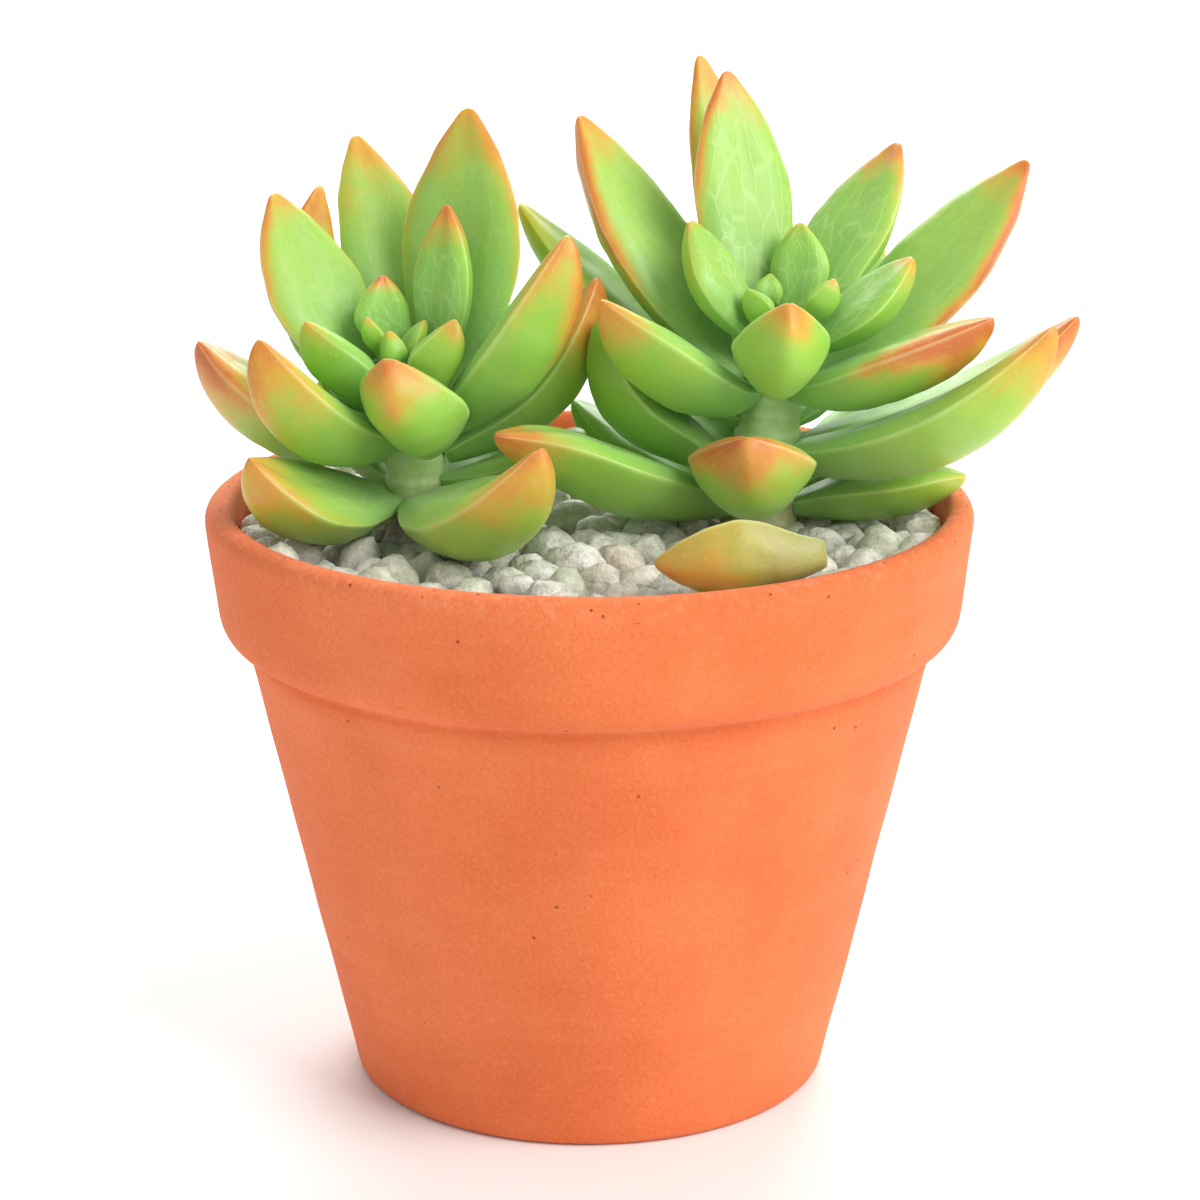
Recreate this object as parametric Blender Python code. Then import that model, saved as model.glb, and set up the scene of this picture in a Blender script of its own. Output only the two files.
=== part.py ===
"""Potted succulent: two stonecrop rosettes with thick boat-shaped leaves in a clay pot.

The pot is a turned clay pot with a rolled rim band and a drain hole. It holds potting mix, a
bed of pale gravel and two upright stems. Every leaf is a solid of its own that springs from
its stem, and one shed leaf lies on the gravel against the rim.

Built in metres with +Z up. The origin is on the ground under the middle of the whole plant
and pot, so the pot's own axis stands a little to one side of it.
"""
import math
from collections import namedtuple

import bpy
import numpy as np

MM = 0.001
CLEARANCE = 0.3 * MM          # air between pieces that touch on the real plant

# ---- Clay pot ----
POT_HEIGHT = 82 * MM
RIM_RADIUS = 52.5 * MM        # outside of the band at its top
RIM_WALL = 3.8 * MM
RIM_ROUNDING = 1.8 * MM       # outer edge rounding at the mouth
LIP_SHARE = 0.6               # the inner edge rounding, as a share of the outer one
BAND_HEIGHT = 18.6 * MM
BAND_DRAFT = 1.4 * MM         # how much narrower the band is at its lower edge
BAND_ROUNDING = 4.6 * MM      # height of the rounding under the band
RIM_FLARE_HEIGHT = 8.0 * MM   # where the inside widens from the body wall to the rim wall
BODY_TOP_RADIUS = 47.4 * MM   # outside of the body just under the band
FOOT_RADIUS = 33.0 * MM
FOOT_ROUNDING = 1.0 * MM
BODY_WALL = 4.2 * MM
FLOOR_THICKNESS = 5.0 * MM
DRAIN_RADIUS = 5.5 * MM
POT_SEGMENTS = 56

# ---- What fills it ----
GRAVEL_DROP = 5.0 * MM        # from the rim down to the top of the gravel
GRAVEL_DEPTH = 9.0 * MM
STONE_PITCH = 5.6 * MM        # spacing of the stones, which sets the bumps
STONE_RELIEF = 1.0 * MM       # how far the bumps rise and fall
GRAVEL_SEED = 7
WALL_GAP = 0.45 * MM          # from the pot's faceted inside to what fills it
GRAVEL_TOP = POT_HEIGHT - GRAVEL_DROP
SOIL_TOP = GRAVEL_TOP - GRAVEL_DEPTH

# ---- Stems ----
STEM_DEPTH = 22 * MM          # how far a stem goes down under the gravel's top
STEM_SIDES = 12
SOCKET_GAP = 0.5 * MM         # between a stem and its hole in the gravel and the mix
STEM_BEND = 1.3               # how late up its height a stem leans
STEM_TIP_SHARE = 0.5          # stem radius at the growing tip, as a share of its foot
STEM_TAPER = 1.5              # how late up its height a stem thins
STEM_LEVELS = (0.25, 0.55, 0.82, 0.975)   # rings above the gravel, as shares of its height
Stem = namedtuple("Stem", "name x y lean_x lean_y height radius")
LEFT = Stem("left_stem", -23 * MM, 0.5 * MM, -2.5 * MM, -1.5 * MM, 24 * MM, 4.6 * MM)
RIGHT = Stem("right_stem", 23 * MM, 2 * MM, 3.5 * MM, -3 * MM, 31 * MM, 5.0 * MM)

# ---- Leaves ----
SPINE_STEPS = 48
RING_PLACES = (0.0, 0.08, 0.22, 0.38, 0.54, 0.70, 0.83, 0.94)
WIDEST_PLACE = 0.52           # where along its length a leaf is widest
NECK_SHARE = 0.44             # width of the neck at the stem, as a share of the full width
NECK_DEPTH_SHARE = 0.46       # the same for the thickness
NECK_SWELL = 1.25             # how slowly the width grows out of the neck
THICKEST_PLACE = 0.48         # where along its length a leaf is thickest
WIDTH_SHOULDER = 1.65         # how long the leaf keeps its width before it closes to the tip
WIDTH_POINT = 0.78            # how bluntly it closes: 0.5 is round, 1 is a straight point
DEPTH_SHOULDER = 2.1          # the same two for the thickness, which closes later and rounder
DEPTH_POINT = 0.64
# One side of the cross-section, from the left margin over the shallow upper face to the right
# margin and back under the keel: across and up, as shares of half width and of thickness.
SECTION = ((-1.0, 0.06), (-0.52, 0.30), (0.0, 0.22), (0.52, 0.30), (1.0, 0.06),
           (0.74, -0.34), (0.38, -0.60), (0.0, -0.70), (-0.38, -0.60), (-0.74, -0.34))

# Each leaf: its stem, height above the gravel (mm), heading round the stem, rise at the stem
# and further rise gained towards the tip (degrees), then length, width and thickness (mm) and
# the roll about its own length (degrees). The last number says how readily it gives way to a
# neighbour. Heading 0 is +X, 90 is +Y.
Leaf = namedtuple("Leaf", "name stem up heading rise curl length width thickness roll give")
LEAVES = (
    Leaf("left_leaf_01", LEFT, 12, 172, 8, 35, 29, 14, 9, 0, 1),
    Leaf("left_leaf_02", LEFT, 12, 214, 16, 45, 26, 13, 9, 0, 1),
    Leaf("left_leaf_03", LEFT, 16, 143, 48, 15, 31, 16, 7, 10, 1),
    Leaf("left_leaf_04", LEFT, 13, 121, 51, 8, 37, 11, 6, 0, 4),
    Leaf("left_leaf_05", LEFT, 15, 111, 49, 6, 42, 15, 7, 0, 1),
    Leaf("left_leaf_06", LEFT, 17, 65, 68, 8, 39, 18, 7, 0, 1),
    Leaf("left_leaf_07", LEFT, 21, 50, 76, 4, 22, 10, 6, 0, 1),
    Leaf("left_leaf_08", LEFT, 22.5, 112, 84, 5, 12, 8, 5, 0, 1),
    Leaf("left_leaf_09", LEFT, 18, 200, 33, 20, 15, 9, 7, 0, 1),
    Leaf("left_leaf_10", LEFT, 23.5, 30, 75, 0, 8, 4, 3, 0, 1),
    Leaf("left_leaf_11", LEFT, 19, -38, 46, 20, 13, 8, 6, 0, 1),
    Leaf("left_leaf_12", LEFT, 11, -103, 36, 28, 18, 14, 9, 0, 1),
    Leaf("left_leaf_13", LEFT, 14, -22, 43, 25, 32.5, 14, 9, 0, 1),
    Leaf("left_leaf_14", LEFT, 9, 10, 26, 40, 31, 13, 8, 0, 3),
    Leaf("left_leaf_15", LEFT, 4.5, 226, -10, 58, 27, 17, 9, 22, 1),
    Leaf("left_leaf_16", LEFT, 4, -58, -18, 75, 35, 18, 10, -14, 1),
    Leaf("left_leaf_17", LEFT, 6.5, -24, 3, 12, 20, 12, 8, 0, 6),
    Leaf("left_leaf_18", LEFT, 5, 160, 30, 25, 19, 10, 6, 0, 8),
    Leaf("left_leaf_19", LEFT, 9, 36, 30, 12, 25, 13, 7, 0, 6),
    Leaf("left_leaf_20", LEFT, 5, 94, 36, 15, 30, 13, 7, 0, 8),
    Leaf("left_leaf_21", LEFT, 4, 130, 30, 22, 27, 13, 7, 0, 8),
    Leaf("left_leaf_22", LEFT, 3, 58, 24, 22, 26, 12, 7, 0, 8),
    Leaf("left_leaf_23", LEFT, 24, -110, 70, 0, 6, 4, 3, 0, 1),
    Leaf("left_leaf_24", LEFT, 23, 215, 78, 0, 7, 4, 3, 0, 1),
    Leaf("right_leaf_01", RIGHT, 21, 148, 45, 10, 42, 16, 8, 10, 1),
    Leaf("right_leaf_02", RIGHT, 19, 115, 62, 5, 47, 12, 7, 0, 1),
    Leaf("right_leaf_03", RIGHT, 24, 117, 71, 4, 36.5, 15, 7, 0, 1),
    Leaf("right_leaf_04", RIGHT, 27, 150, 54, 5, 18, 10, 6, 5, 1),
    Leaf("right_leaf_05", RIGHT, 28, 76, 78, 0, 13, 8, 5, 0, 1),
    Leaf("right_leaf_06", RIGHT, 24, 46, 45, 8, 32, 14, 7, 0, 1),
    Leaf("right_leaf_07", RIGHT, 21, 20, 34, 12, 43, 15, 7, -30, 1),
    Leaf("right_leaf_08", RIGHT, 26, 0, 33, 15, 18, 11, 6, -15, 1),
    Leaf("right_leaf_09", RIGHT, 20, -24, 7, 25, 29, 14, 8, 0, 1),
    Leaf("right_leaf_10", RIGHT, 11, -24, 7, 45, 42, 16, 9, 0, 1),
    Leaf("right_leaf_11", RIGHT, 11, -2, 6, 38, 43, 14, 8, 0, 3),
    Leaf("right_leaf_12", RIGHT, 20, 202, 17, 25, 26, 14, 9, 0, 1),
    Leaf("right_leaf_13", RIGHT, 20, -86, 30, 30, 18, 13, 9, 0, 1),
    Leaf("right_leaf_14", RIGHT, 9, -98, 12, 30, 20, 17, 10, 0, 1),
    Leaf("right_leaf_15", RIGHT, 15, 162, 28, 20, 42, 14, 7, 0, 5),
    Leaf("right_leaf_16", RIGHT, 4, 210, 0, 20, 37, 15, 9, 0, 1),
    Leaf("right_leaf_17", RIGHT, 29.5, 200, 52, 0, 6, 5, 4, 0, 1),
    Leaf("right_leaf_18", RIGHT, 9, 181, 33, 30, 27, 13, 8, 0, 6),
    Leaf("right_leaf_19", RIGHT, 4, 160, 20, 15, 25, 12, 7, 0, 6),
    Leaf("right_leaf_20", RIGHT, 13, 132, 55, 12, 30, 12, 7, 0, 8),
    Leaf("right_leaf_21", RIGHT, 3, -4, -6, 15, 23, 12, 7, 0, 5),
    Leaf("right_leaf_22", RIGHT, 12, 60, 30, 14, 34, 13, 7, 0, 8),
    Leaf("right_leaf_23", RIGHT, 8, 92, 34, 14, 30, 13, 7, 0, 8),
    Leaf("right_leaf_24", RIGHT, 4, 125, 26, 14, 26, 12, 7, 0, 8),
    Leaf("right_leaf_25", RIGHT, 4, 40, 18, 20, 31, 12, 7, 0, 8),
    Leaf("right_leaf_26", RIGHT, 31, 100, 75, 0, 5, 4, 3, 0, 1),
    Leaf("right_leaf_27", RIGHT, 30, -30, 52, 0, 7, 5, 4, 0, 1),
)
# The shed leaf: its root, then the same fields.
SHED_LEAF_ROOT = (29 * MM, -35 * MM, 83 * MM)
SHED_LEAF = Leaf("loose_leaf", None, 0, 190, -6, 8, 21, 12, 7, -62, 4)

# ---- How neighbouring leaves lean off one another ----
SETTLE_STEPS = 150
SETTLE_GAP = 0.5 * MM         # air that is aimed for between two leaves
SETTLE_RATE = 0.4
SETTLE_ENOUGH = 0.3 * MM      # the pushes still needed, summed over all pairs, at the end
ROOT_GIVE = 0.1               # how readily a leaf's root moves round its stem
TIP_CALM = 0.7                # how much less the tip moves than the place that is pushed
DIRECTIONS = 160


def clear_scene():
    """Remove whatever the open scene holds."""
    for item in list(bpy.data.objects):
        bpy.data.objects.remove(item, do_unlink=True)


def finish(name, colour, roughness):
    """A plain Principled material."""
    material = bpy.data.materials.new(name)
    material.use_nodes = True
    shader = material.node_tree.nodes["Principled BSDF"]
    shader.inputs["Base Color"].default_value = (*colour, 1.0)
    shader.inputs["Roughness"].default_value = roughness
    shader.inputs["Metallic"].default_value = 0.0
    material.diffuse_color = (*colour, 1.0)
    return material


def add_object(name, points, faces, material, stand):
    """A smooth-shaded object on the stand, from points measured from the pot's axis."""
    mesh = bpy.data.meshes.new(name)
    mesh.from_pydata([tuple(map(float, p)) for p in points], [], faces)
    mesh.validate()
    mesh.shade_smooth()
    mesh.set_sharp_from_angle(angle=math.radians(40))
    mesh.materials.append(material)
    piece = bpy.data.objects.new(name, mesh)
    bpy.context.collection.objects.link(piece)
    piece.parent = stand
    return piece


def arc(centre, across, up, start, end, steps):
    """Points on an elliptical arc in the profile plane, angles in degrees."""
    turns = np.radians(np.linspace(start, end, steps))
    return [(centre[0] + across * math.cos(t), centre[1] + up * math.sin(t)) for t in turns]


def inner_radius(height):
    """The pot's inside radius at a height: along the body wall, then out to the rim wall."""
    shoulder = POT_HEIGHT - BAND_HEIGHT
    taper = BODY_TOP_RADIUS - FOOT_RADIUS
    body = FOOT_RADIUS + taper * min(height / shoulder, 1.0) - BODY_WALL
    rim = RIM_RADIUS - RIM_WALL
    return body + (rim - body) * min(max(height - shoulder, 0.0) / RIM_FLARE_HEIGHT, 1.0)


def pot_profile():
    """The closed outline of the pot's wall: radius and height, starting at the drain hole."""
    shoulder = POT_HEIGHT - BAND_HEIGHT
    band_low = RIM_RADIUS - BAND_DRAFT
    corner = band_low - BODY_TOP_RADIUS
    lip = RIM_ROUNDING * LIP_SHARE
    outline = [(DRAIN_RADIUS, 0.0)]
    outline += arc((FOOT_RADIUS - FOOT_ROUNDING, FOOT_ROUNDING), FOOT_ROUNDING, FOOT_ROUNDING,
                   -90, -8, 3)
    outline += [(BODY_TOP_RADIUS, shoulder)]
    outline += arc((BODY_TOP_RADIUS, shoulder + BAND_ROUNDING), corner, BAND_ROUNDING, -68, 0, 4)
    outline += arc((RIM_RADIUS - RIM_ROUNDING, POT_HEIGHT - RIM_ROUNDING), RIM_ROUNDING,
                   RIM_ROUNDING, 0, 90, 4)
    outline += arc((RIM_RADIUS - RIM_WALL + lip, POT_HEIGHT - lip), lip, lip, 90, 180, 3)
    outline += [(inner_radius(height), height)
                for height in (shoulder + RIM_FLARE_HEIGHT, shoulder, FLOOR_THICKNESS)]
    outline += [(DRAIN_RADIUS, FLOOR_THICKNESS)]
    return outline


def turned(outline, segments):
    """Points and faces of a closed outline turned about Z, as a ring with a hole."""
    count = len(outline)
    turns = 2 * math.pi * np.arange(segments) / segments
    points = [(r * math.cos(t), r * math.sin(t), z) for t in turns for r, z in outline]
    faces = []
    for i in range(segments):
        j = (i + 1) % segments
        for k in range(count):
            m = (k + 1) % count
            faces.append((i * count + k, j * count + k, j * count + m, i * count + m))
    return points, faces


def filling(bottom, top, relief, pitch):
    """A closed bed that fills the pot from one height to another.

    Its top is rings of points a stone apart, each lifted or lowered by up to the relief.
    """
    turns = 2 * math.pi * np.arange(POT_SEGMENTS) / POT_SEGMENTS
    shoulder = POT_HEIGHT - BAND_HEIGHT
    heights = [bottom] + [h for h in (shoulder, shoulder + RIM_FLARE_HEIGHT) if bottom < h < top]
    points = []
    rows = []
    for height in heights:
        rows.append(range(len(points), len(points) + POT_SEGMENTS))
        points += circle(inner_radius(height) - WALL_GAP, height, turns)
    random = np.random.default_rng(GRAVEL_SEED)
    edge = inner_radius(top) - WALL_GAP
    rings = max(1, round(edge / pitch)) if relief else 1
    for ring in range(rings, 0, -1):
        against_wall = ring == rings
        count = POT_SEGMENTS if against_wall else max(6, round(POT_SEGMENTS * ring / rings))
        around = 2 * math.pi * (np.arange(count) + (0 if against_wall else ring % 2 / 2)) / count
        lift = np.zeros(count) if against_wall else relief * random.uniform(-1, 1, count)
        rows.append(range(len(points), len(points) + count))
        points += circle(edge * ring / rings, top + lift, around)
    faces = [tuple(reversed(rows[0]))]
    for low, high in zip(rows, rows[1:]):
        faces += bridge(points, low, high)
    if rings == 1:
        faces.append(tuple(rows[-1]))
    else:
        last = list(rows[-1])
        faces += [(a, b, len(points)) for a, b in zip(last, last[1:] + last[:1])]
        points.append((0.0, 0.0, top))
    return points, faces


def circle(radius, height, turns):
    """Points round the pot's axis at a radius, a height or heights, and some turns."""
    heights = np.broadcast_to(height, turns.shape)
    return [(radius * math.cos(t), radius * math.sin(t), h) for t, h in zip(turns, heights)]


def bridge(points, outer, inner):
    """Triangles between two rings with different counts, walked round both together."""
    full = 2 * math.pi
    out_turns = [math.atan2(points[k][1], points[k][0]) % full for k in outer]
    in_turns = [math.atan2(points[k][1], points[k][0]) % full for k in inner]
    out_turns.append(out_turns[0] + full)
    in_turns.append(in_turns[0] + full)
    faces = []
    i = j = 0
    while i < len(outer) or j < len(inner):
        a, b = outer[i % len(outer)], inner[j % len(inner)]
        if j == len(inner) or (i < len(outer) and out_turns[i + 1] <= in_turns[j + 1]):
            i += 1
            faces.append((a, outer[i % len(outer)], b))
        else:
            j += 1
            faces.append((a, inner[j % len(inner)], b))
    return faces


def stem_axis(stem, up):
    """The middle of a stem at heights above the gravel. It leans towards its growing tip."""
    up = np.asarray(up, dtype=float)
    bend = np.clip(up / stem.height, 0.0, None) ** STEM_BEND
    return np.stack((stem.x + stem.lean_x * bend, stem.y + stem.lean_y * bend, GRAVEL_TOP + up),
                    axis=-1)


def stem_radius(stem, up):
    """A stem's radius at heights above the gravel: even below it, thinner towards the tip."""
    share = np.clip(np.asarray(up) / stem.height, 0.0, 1.0)
    return stem.radius * (1 - (1 - STEM_TIP_SHARE) * share ** STEM_TAPER)


def stem_solid(stem):
    """A stem as rings of points from its foot in the soil to its rounded growing tip."""
    levels = [-STEM_DEPTH, 0.0] + [share * stem.height for share in STEM_LEVELS]
    turns = 2 * math.pi * np.arange(STEM_SIDES) / STEM_SIDES
    points = []
    for up in levels:
        middle = stem_axis(stem, up)
        radius = stem_radius(stem, up)
        points += [(middle[0] + radius * math.cos(t), middle[1] + radius * math.sin(t), middle[2])
                   for t in turns]
    points.append(tuple(stem_axis(stem, stem.height)))
    return points, tube_faces(len(levels), STEM_SIDES)


def tube_faces(rings, around):
    """Faces of a closed tube: a flat cap, bands between the rings, then a fan to one last point."""
    faces = [tuple(reversed(range(around)))]
    for row in range(0, (rings - 1) * around, around):
        for i in range(around):
            j = (i + 1) % around
            faces.append((row + i, row + j, row + around + j, row + around + i))
    last = (rings - 1) * around
    tip = rings * around
    faces += [(last + i, last + (i + 1) % around, tip) for i in range(around)]
    return faces


def leaf_width(place):
    """Share of the full width: a neck that swells evenly, then an ogive to the pointed tip."""
    if place <= WIDEST_PLACE:
        swell = math.sin(0.5 * math.pi * place / WIDEST_PLACE) ** NECK_SWELL
        return NECK_SHARE + (1 - NECK_SHARE) * swell
    beyond = (place - WIDEST_PLACE) / (1 - WIDEST_PLACE)
    return (1 - beyond ** WIDTH_SHOULDER) ** WIDTH_POINT


def leaf_depth(place):
    """Share of the full thickness: fullest nearer the stem than the width is."""
    if place <= THICKEST_PLACE:
        swell = math.sin(0.5 * math.pi * place / THICKEST_PLACE)
        return NECK_DEPTH_SHARE + (1 - NECK_DEPTH_SHARE) * swell
    beyond = (place - THICKEST_PLACE) / (1 - THICKEST_PLACE)
    return (1 - beyond ** DEPTH_SHOULDER) ** DEPTH_POINT


def leaf_rings(leaf, root):
    """The rings of a leaf and its tip, following a spine that rises as a circular arc."""
    heading = math.radians(leaf.heading)
    roll = math.radians(leaf.roll)
    shares = (np.arange(SPINE_STEPS) + 0.5) / SPINE_STEPS
    steps = bearing(heading, np.radians(leaf.rise + leaf.curl * shares))
    spine = np.cumsum(steps, axis=0) * leaf.length * MM / SPINE_STEPS
    spine = np.vstack((np.zeros(3), spine)) + root
    places = np.linspace(0, 1, SPINE_STEPS + 1)
    across = np.array([math.sin(heading), -math.cos(heading), 0.0])
    rings = []
    for place in RING_PLACES:
        middle = np.array([np.interp(place, places, spine[:, k]) for k in range(3)])
        along = bearing(heading, math.radians(leaf.rise + leaf.curl * place))
        over = np.cross(across, along)
        side = across * math.cos(roll) + over * math.sin(roll)
        face = over * math.cos(roll) - across * math.sin(roll)
        half = leaf.width * MM / 2 * leaf_width(place)
        deep = leaf.thickness * MM * leaf_depth(place)
        rings.append([middle + side * u * half + face * v * deep for u, v in SECTION])
    return np.array(rings), spine[-1]


def bearing(heading, rise):
    """The direction with a heading round Z and a rise above level, in radians."""
    return np.stack((np.cos(rise) * math.cos(heading), np.cos(rise) * math.sin(heading),
                     np.sin(rise)), axis=-1)


def leaf_root(leaf):
    """Where a leaf starts: just clear of its stem, allowing for the tilt of its base."""
    up = leaf.up * MM
    base = leaf.thickness * MM * NECK_DEPTH_SHARE
    keel = abs(min(v for _, v in SECTION))
    tilt = base * keel * abs(math.sin(math.radians(leaf.rise)))
    out = stem_radius(leaf.stem, up) + CLEARANCE + tilt / 2
    return stem_axis(leaf.stem, up) + out * bearing(math.radians(leaf.heading), 0.0)


def compass(count):
    """Directions spread evenly over a sphere, along a spiral from pole to pole."""
    steps = np.arange(count) + 0.5
    height = 1 - 2 * steps / count
    turn = math.pi * (1 + math.sqrt(5)) * steps
    flat = np.sqrt(1 - height ** 2)
    return np.column_stack((flat * np.cos(turn), flat * np.sin(turn), height))


def reach(rows, ways):
    """How far each slice between two rings of points reaches along every way, and back."""
    along = rows @ ways.T
    far = along.max(axis=-2)
    back = along.min(axis=-2)
    return (np.maximum(far[..., :-1, :], far[..., 1:, :]),
            np.minimum(back[..., :-1, :], back[..., 1:, :]))


def spread_matrix():
    """How much of a push on each slice reaches each ring, as a thick leaf bends.

    It is whole at the slice's own two rings, fades towards the stem, where the leaf is held,
    and fades a little towards the tip.
    """
    places = np.array(RING_PLACES + (1.0,))
    spread = np.ones((len(places), len(places) - 1))
    for k, place in enumerate(places):
        for c in range(len(places) - 1):
            if place < places[c]:
                spread[k, c] = (place + ROOT_GIVE) / (places[c] + ROOT_GIVE)
            elif place > places[c + 1]:
                spread[k, c] = 1 - TIP_CALM * (place - places[c + 1])
    return spread


def settle(shapes, leaves_as_drawn, obstacles):
    """Lean neighbouring leaves off one another until there is air between them all.

    A leaf is taken as a chain of convex slices between its rings. Two slices are apart when
    some direction separates them. For two leaves that aren't apart, the one direction that
    needs the smallest pushes is used for all their slices, so a leaf bends and isn't dented.
    After each step every leaf gets its own length back.
    """
    ways = compass(DIRECTIONS)
    spread = spread_matrix()
    leaves = np.array([np.concatenate((rings, np.repeat(tip[None, None], rings.shape[1], 1)))
                       for rings, tip in shapes])
    lengths = np.linalg.norm(np.diff(leaves.mean(axis=2), axis=1), axis=2)
    walls = [(*reach(rows, ways), rows.min(axis=(0, 1)), rows.max(axis=(0, 1)))
             for rows in obstacles]
    gives = [leaf.give for leaf in leaves_as_drawn]
    for step in range(SETTLE_STEPS):
        far, back = reach(leaves, ways)
        low = leaves.min(axis=(1, 2)) - SETTLE_GAP / 2
        high = leaves.max(axis=(1, 2)) + SETTLE_GAP / 2
        pushes = np.zeros((len(leaves), far.shape[1], 3))
        total = 0.0
        for a in range(len(leaves)):
            meets = (low[a] < high[a + 1:]).all(axis=1) & (low[a + 1:] < high[a]).all(axis=1)
            for b in np.flatnonzero(meets) + a + 1:
                share = gives[a] / (gives[a] + gives[b])
                total += part_slices(far[a], back[b], ways, pushes[a], pushes[b], share,
                                     SETTLE_GAP)
            for _, wall_back, wall_low, wall_high in walls:
                if (low[a] < wall_high).all() and (wall_low < high[a]).all():
                    total += part_slices(far[a], wall_back, ways, pushes[a], None, 1.0, CLEARANCE)
            total += lift_off_gravel(leaves[a], pushes[a])
        if total < SETTLE_ENOUGH:
            break
        size = np.linalg.norm(pushes, axis=2)
        weight = spread[None] * size[:, None, :]
        move = np.einsum("nkc,ncx->nkx", weight, pushes)
        move /= np.maximum(size.sum(axis=1), 1e-12)[:, None, None]
        for leaf, root_move, drawn in zip(leaves, move[:, 0], leaves_as_drawn):
            if drawn.stem is not None:
                outward = leaf[0].mean(axis=0) - stem_axis(drawn.stem, drawn.up * MM)
                outward[2] = 0.0
                outward /= np.linalg.norm(outward)
                root_move -= outward * (root_move @ outward)
        leaves += SETTLE_RATE * move[:, :, None, :]
        for leaf in leaves:
            for stem in (LEFT, RIGHT):
                leaf += off_stem(leaf, stem)[:, None, :]
        keep_length(leaves, lengths)
    print(f"leaves settled in {step + 1} steps, with {total / MM:.1f} mm of pushes left")
    return [(leaf[:-1], leaf[-1, 0]) for leaf in leaves]


def keep_length(leaves, lengths):
    """Give every leaf the distances between its rings back, from its root to its tip."""
    middles = leaves.mean(axis=2)
    steps = np.diff(middles, axis=1)
    now = np.linalg.norm(steps, axis=2, keepdims=True)
    wanted = steps / now * lengths[:, :, None]
    leaves[:, 1:] += (np.cumsum(wanted - steps, axis=1))[:, :, None, :]


def part_slices(far, back, ways, pushes, others, share, gap):
    """Add the pushes that part one leaf's slices from another's, and return the largest."""
    depth = far[:, None, :] - back[None, :, :] + gap
    touching = depth.min(axis=2) > 0
    if not touching.any():
        return 0.0
    rows, columns = np.nonzero(touching)
    need = depth[rows, columns]
    way = need.sum(axis=0).argmin()
    for row, column, amount in zip(rows, columns, need[:, way]):
        if amount * share > np.linalg.norm(pushes[row]):
            pushes[row] = -ways[way] * amount * share
        if others is not None and amount * (1 - share) > np.linalg.norm(others[column]):
            others[column] = ways[way] * amount * (1 - share)
    return float(need[:, way].max())


def off_stem(leaf, stem):
    """The moves that take each ring of a leaf out of a stem, to the clearance from it."""
    halfway = (leaf[:-1] + leaf[1:]) / 2
    moves = np.zeros((len(leaf), 3))
    for rows, first in ((leaf, 0), (halfway, 0), (halfway, 1)):
        up = rows[..., 2] - GRAVEL_TOP
        offset = rows - stem_axis(stem, up)
        away = np.linalg.norm(offset, axis=2)
        need = np.where(up < stem.height, stem_radius(stem, up) + CLEARANCE - away, 0.0)
        worst = need.argmax(axis=1)
        for k, point in enumerate(worst):
            amount = need[k, point]
            if amount > np.linalg.norm(moves[k + first]):
                moves[k + first] = offset[k, point] / away[k, point] * amount
    return moves


def lift_off_gravel(leaf, pushes):
    """Lift the slices that reach into the gravel."""
    ground = GRAVEL_TOP + STONE_RELIEF + CLEARANCE
    lowest = leaf[:, :, 2].min(axis=1)
    lift = np.maximum(0.0, ground - np.minimum(lowest[:-1], lowest[1:]))
    pushes[:, 2] = np.maximum(pushes[:, 2], lift)
    return float(lift.max())


def rim_sections():
    """Upright cross-sections of the pot's rim, one for each of its facets and the first again."""
    low = GRAVEL_TOP - GRAVEL_DROP
    inner = inner_radius(low)
    lip = RIM_ROUNDING * LIP_SHARE
    corners = [(inner, low), (inner, POT_HEIGHT - lip), (inner + lip, POT_HEIGHT),
               (RIM_RADIUS - RIM_ROUNDING, POT_HEIGHT), (RIM_RADIUS, POT_HEIGHT - RIM_ROUNDING),
               (RIM_RADIUS, low)]
    turns = 2 * math.pi * np.arange(POT_SEGMENTS + 1) / POT_SEGMENTS
    return np.array([[(r * math.cos(t), r * math.sin(t), z) for r, z in corners] for t in turns])


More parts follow.
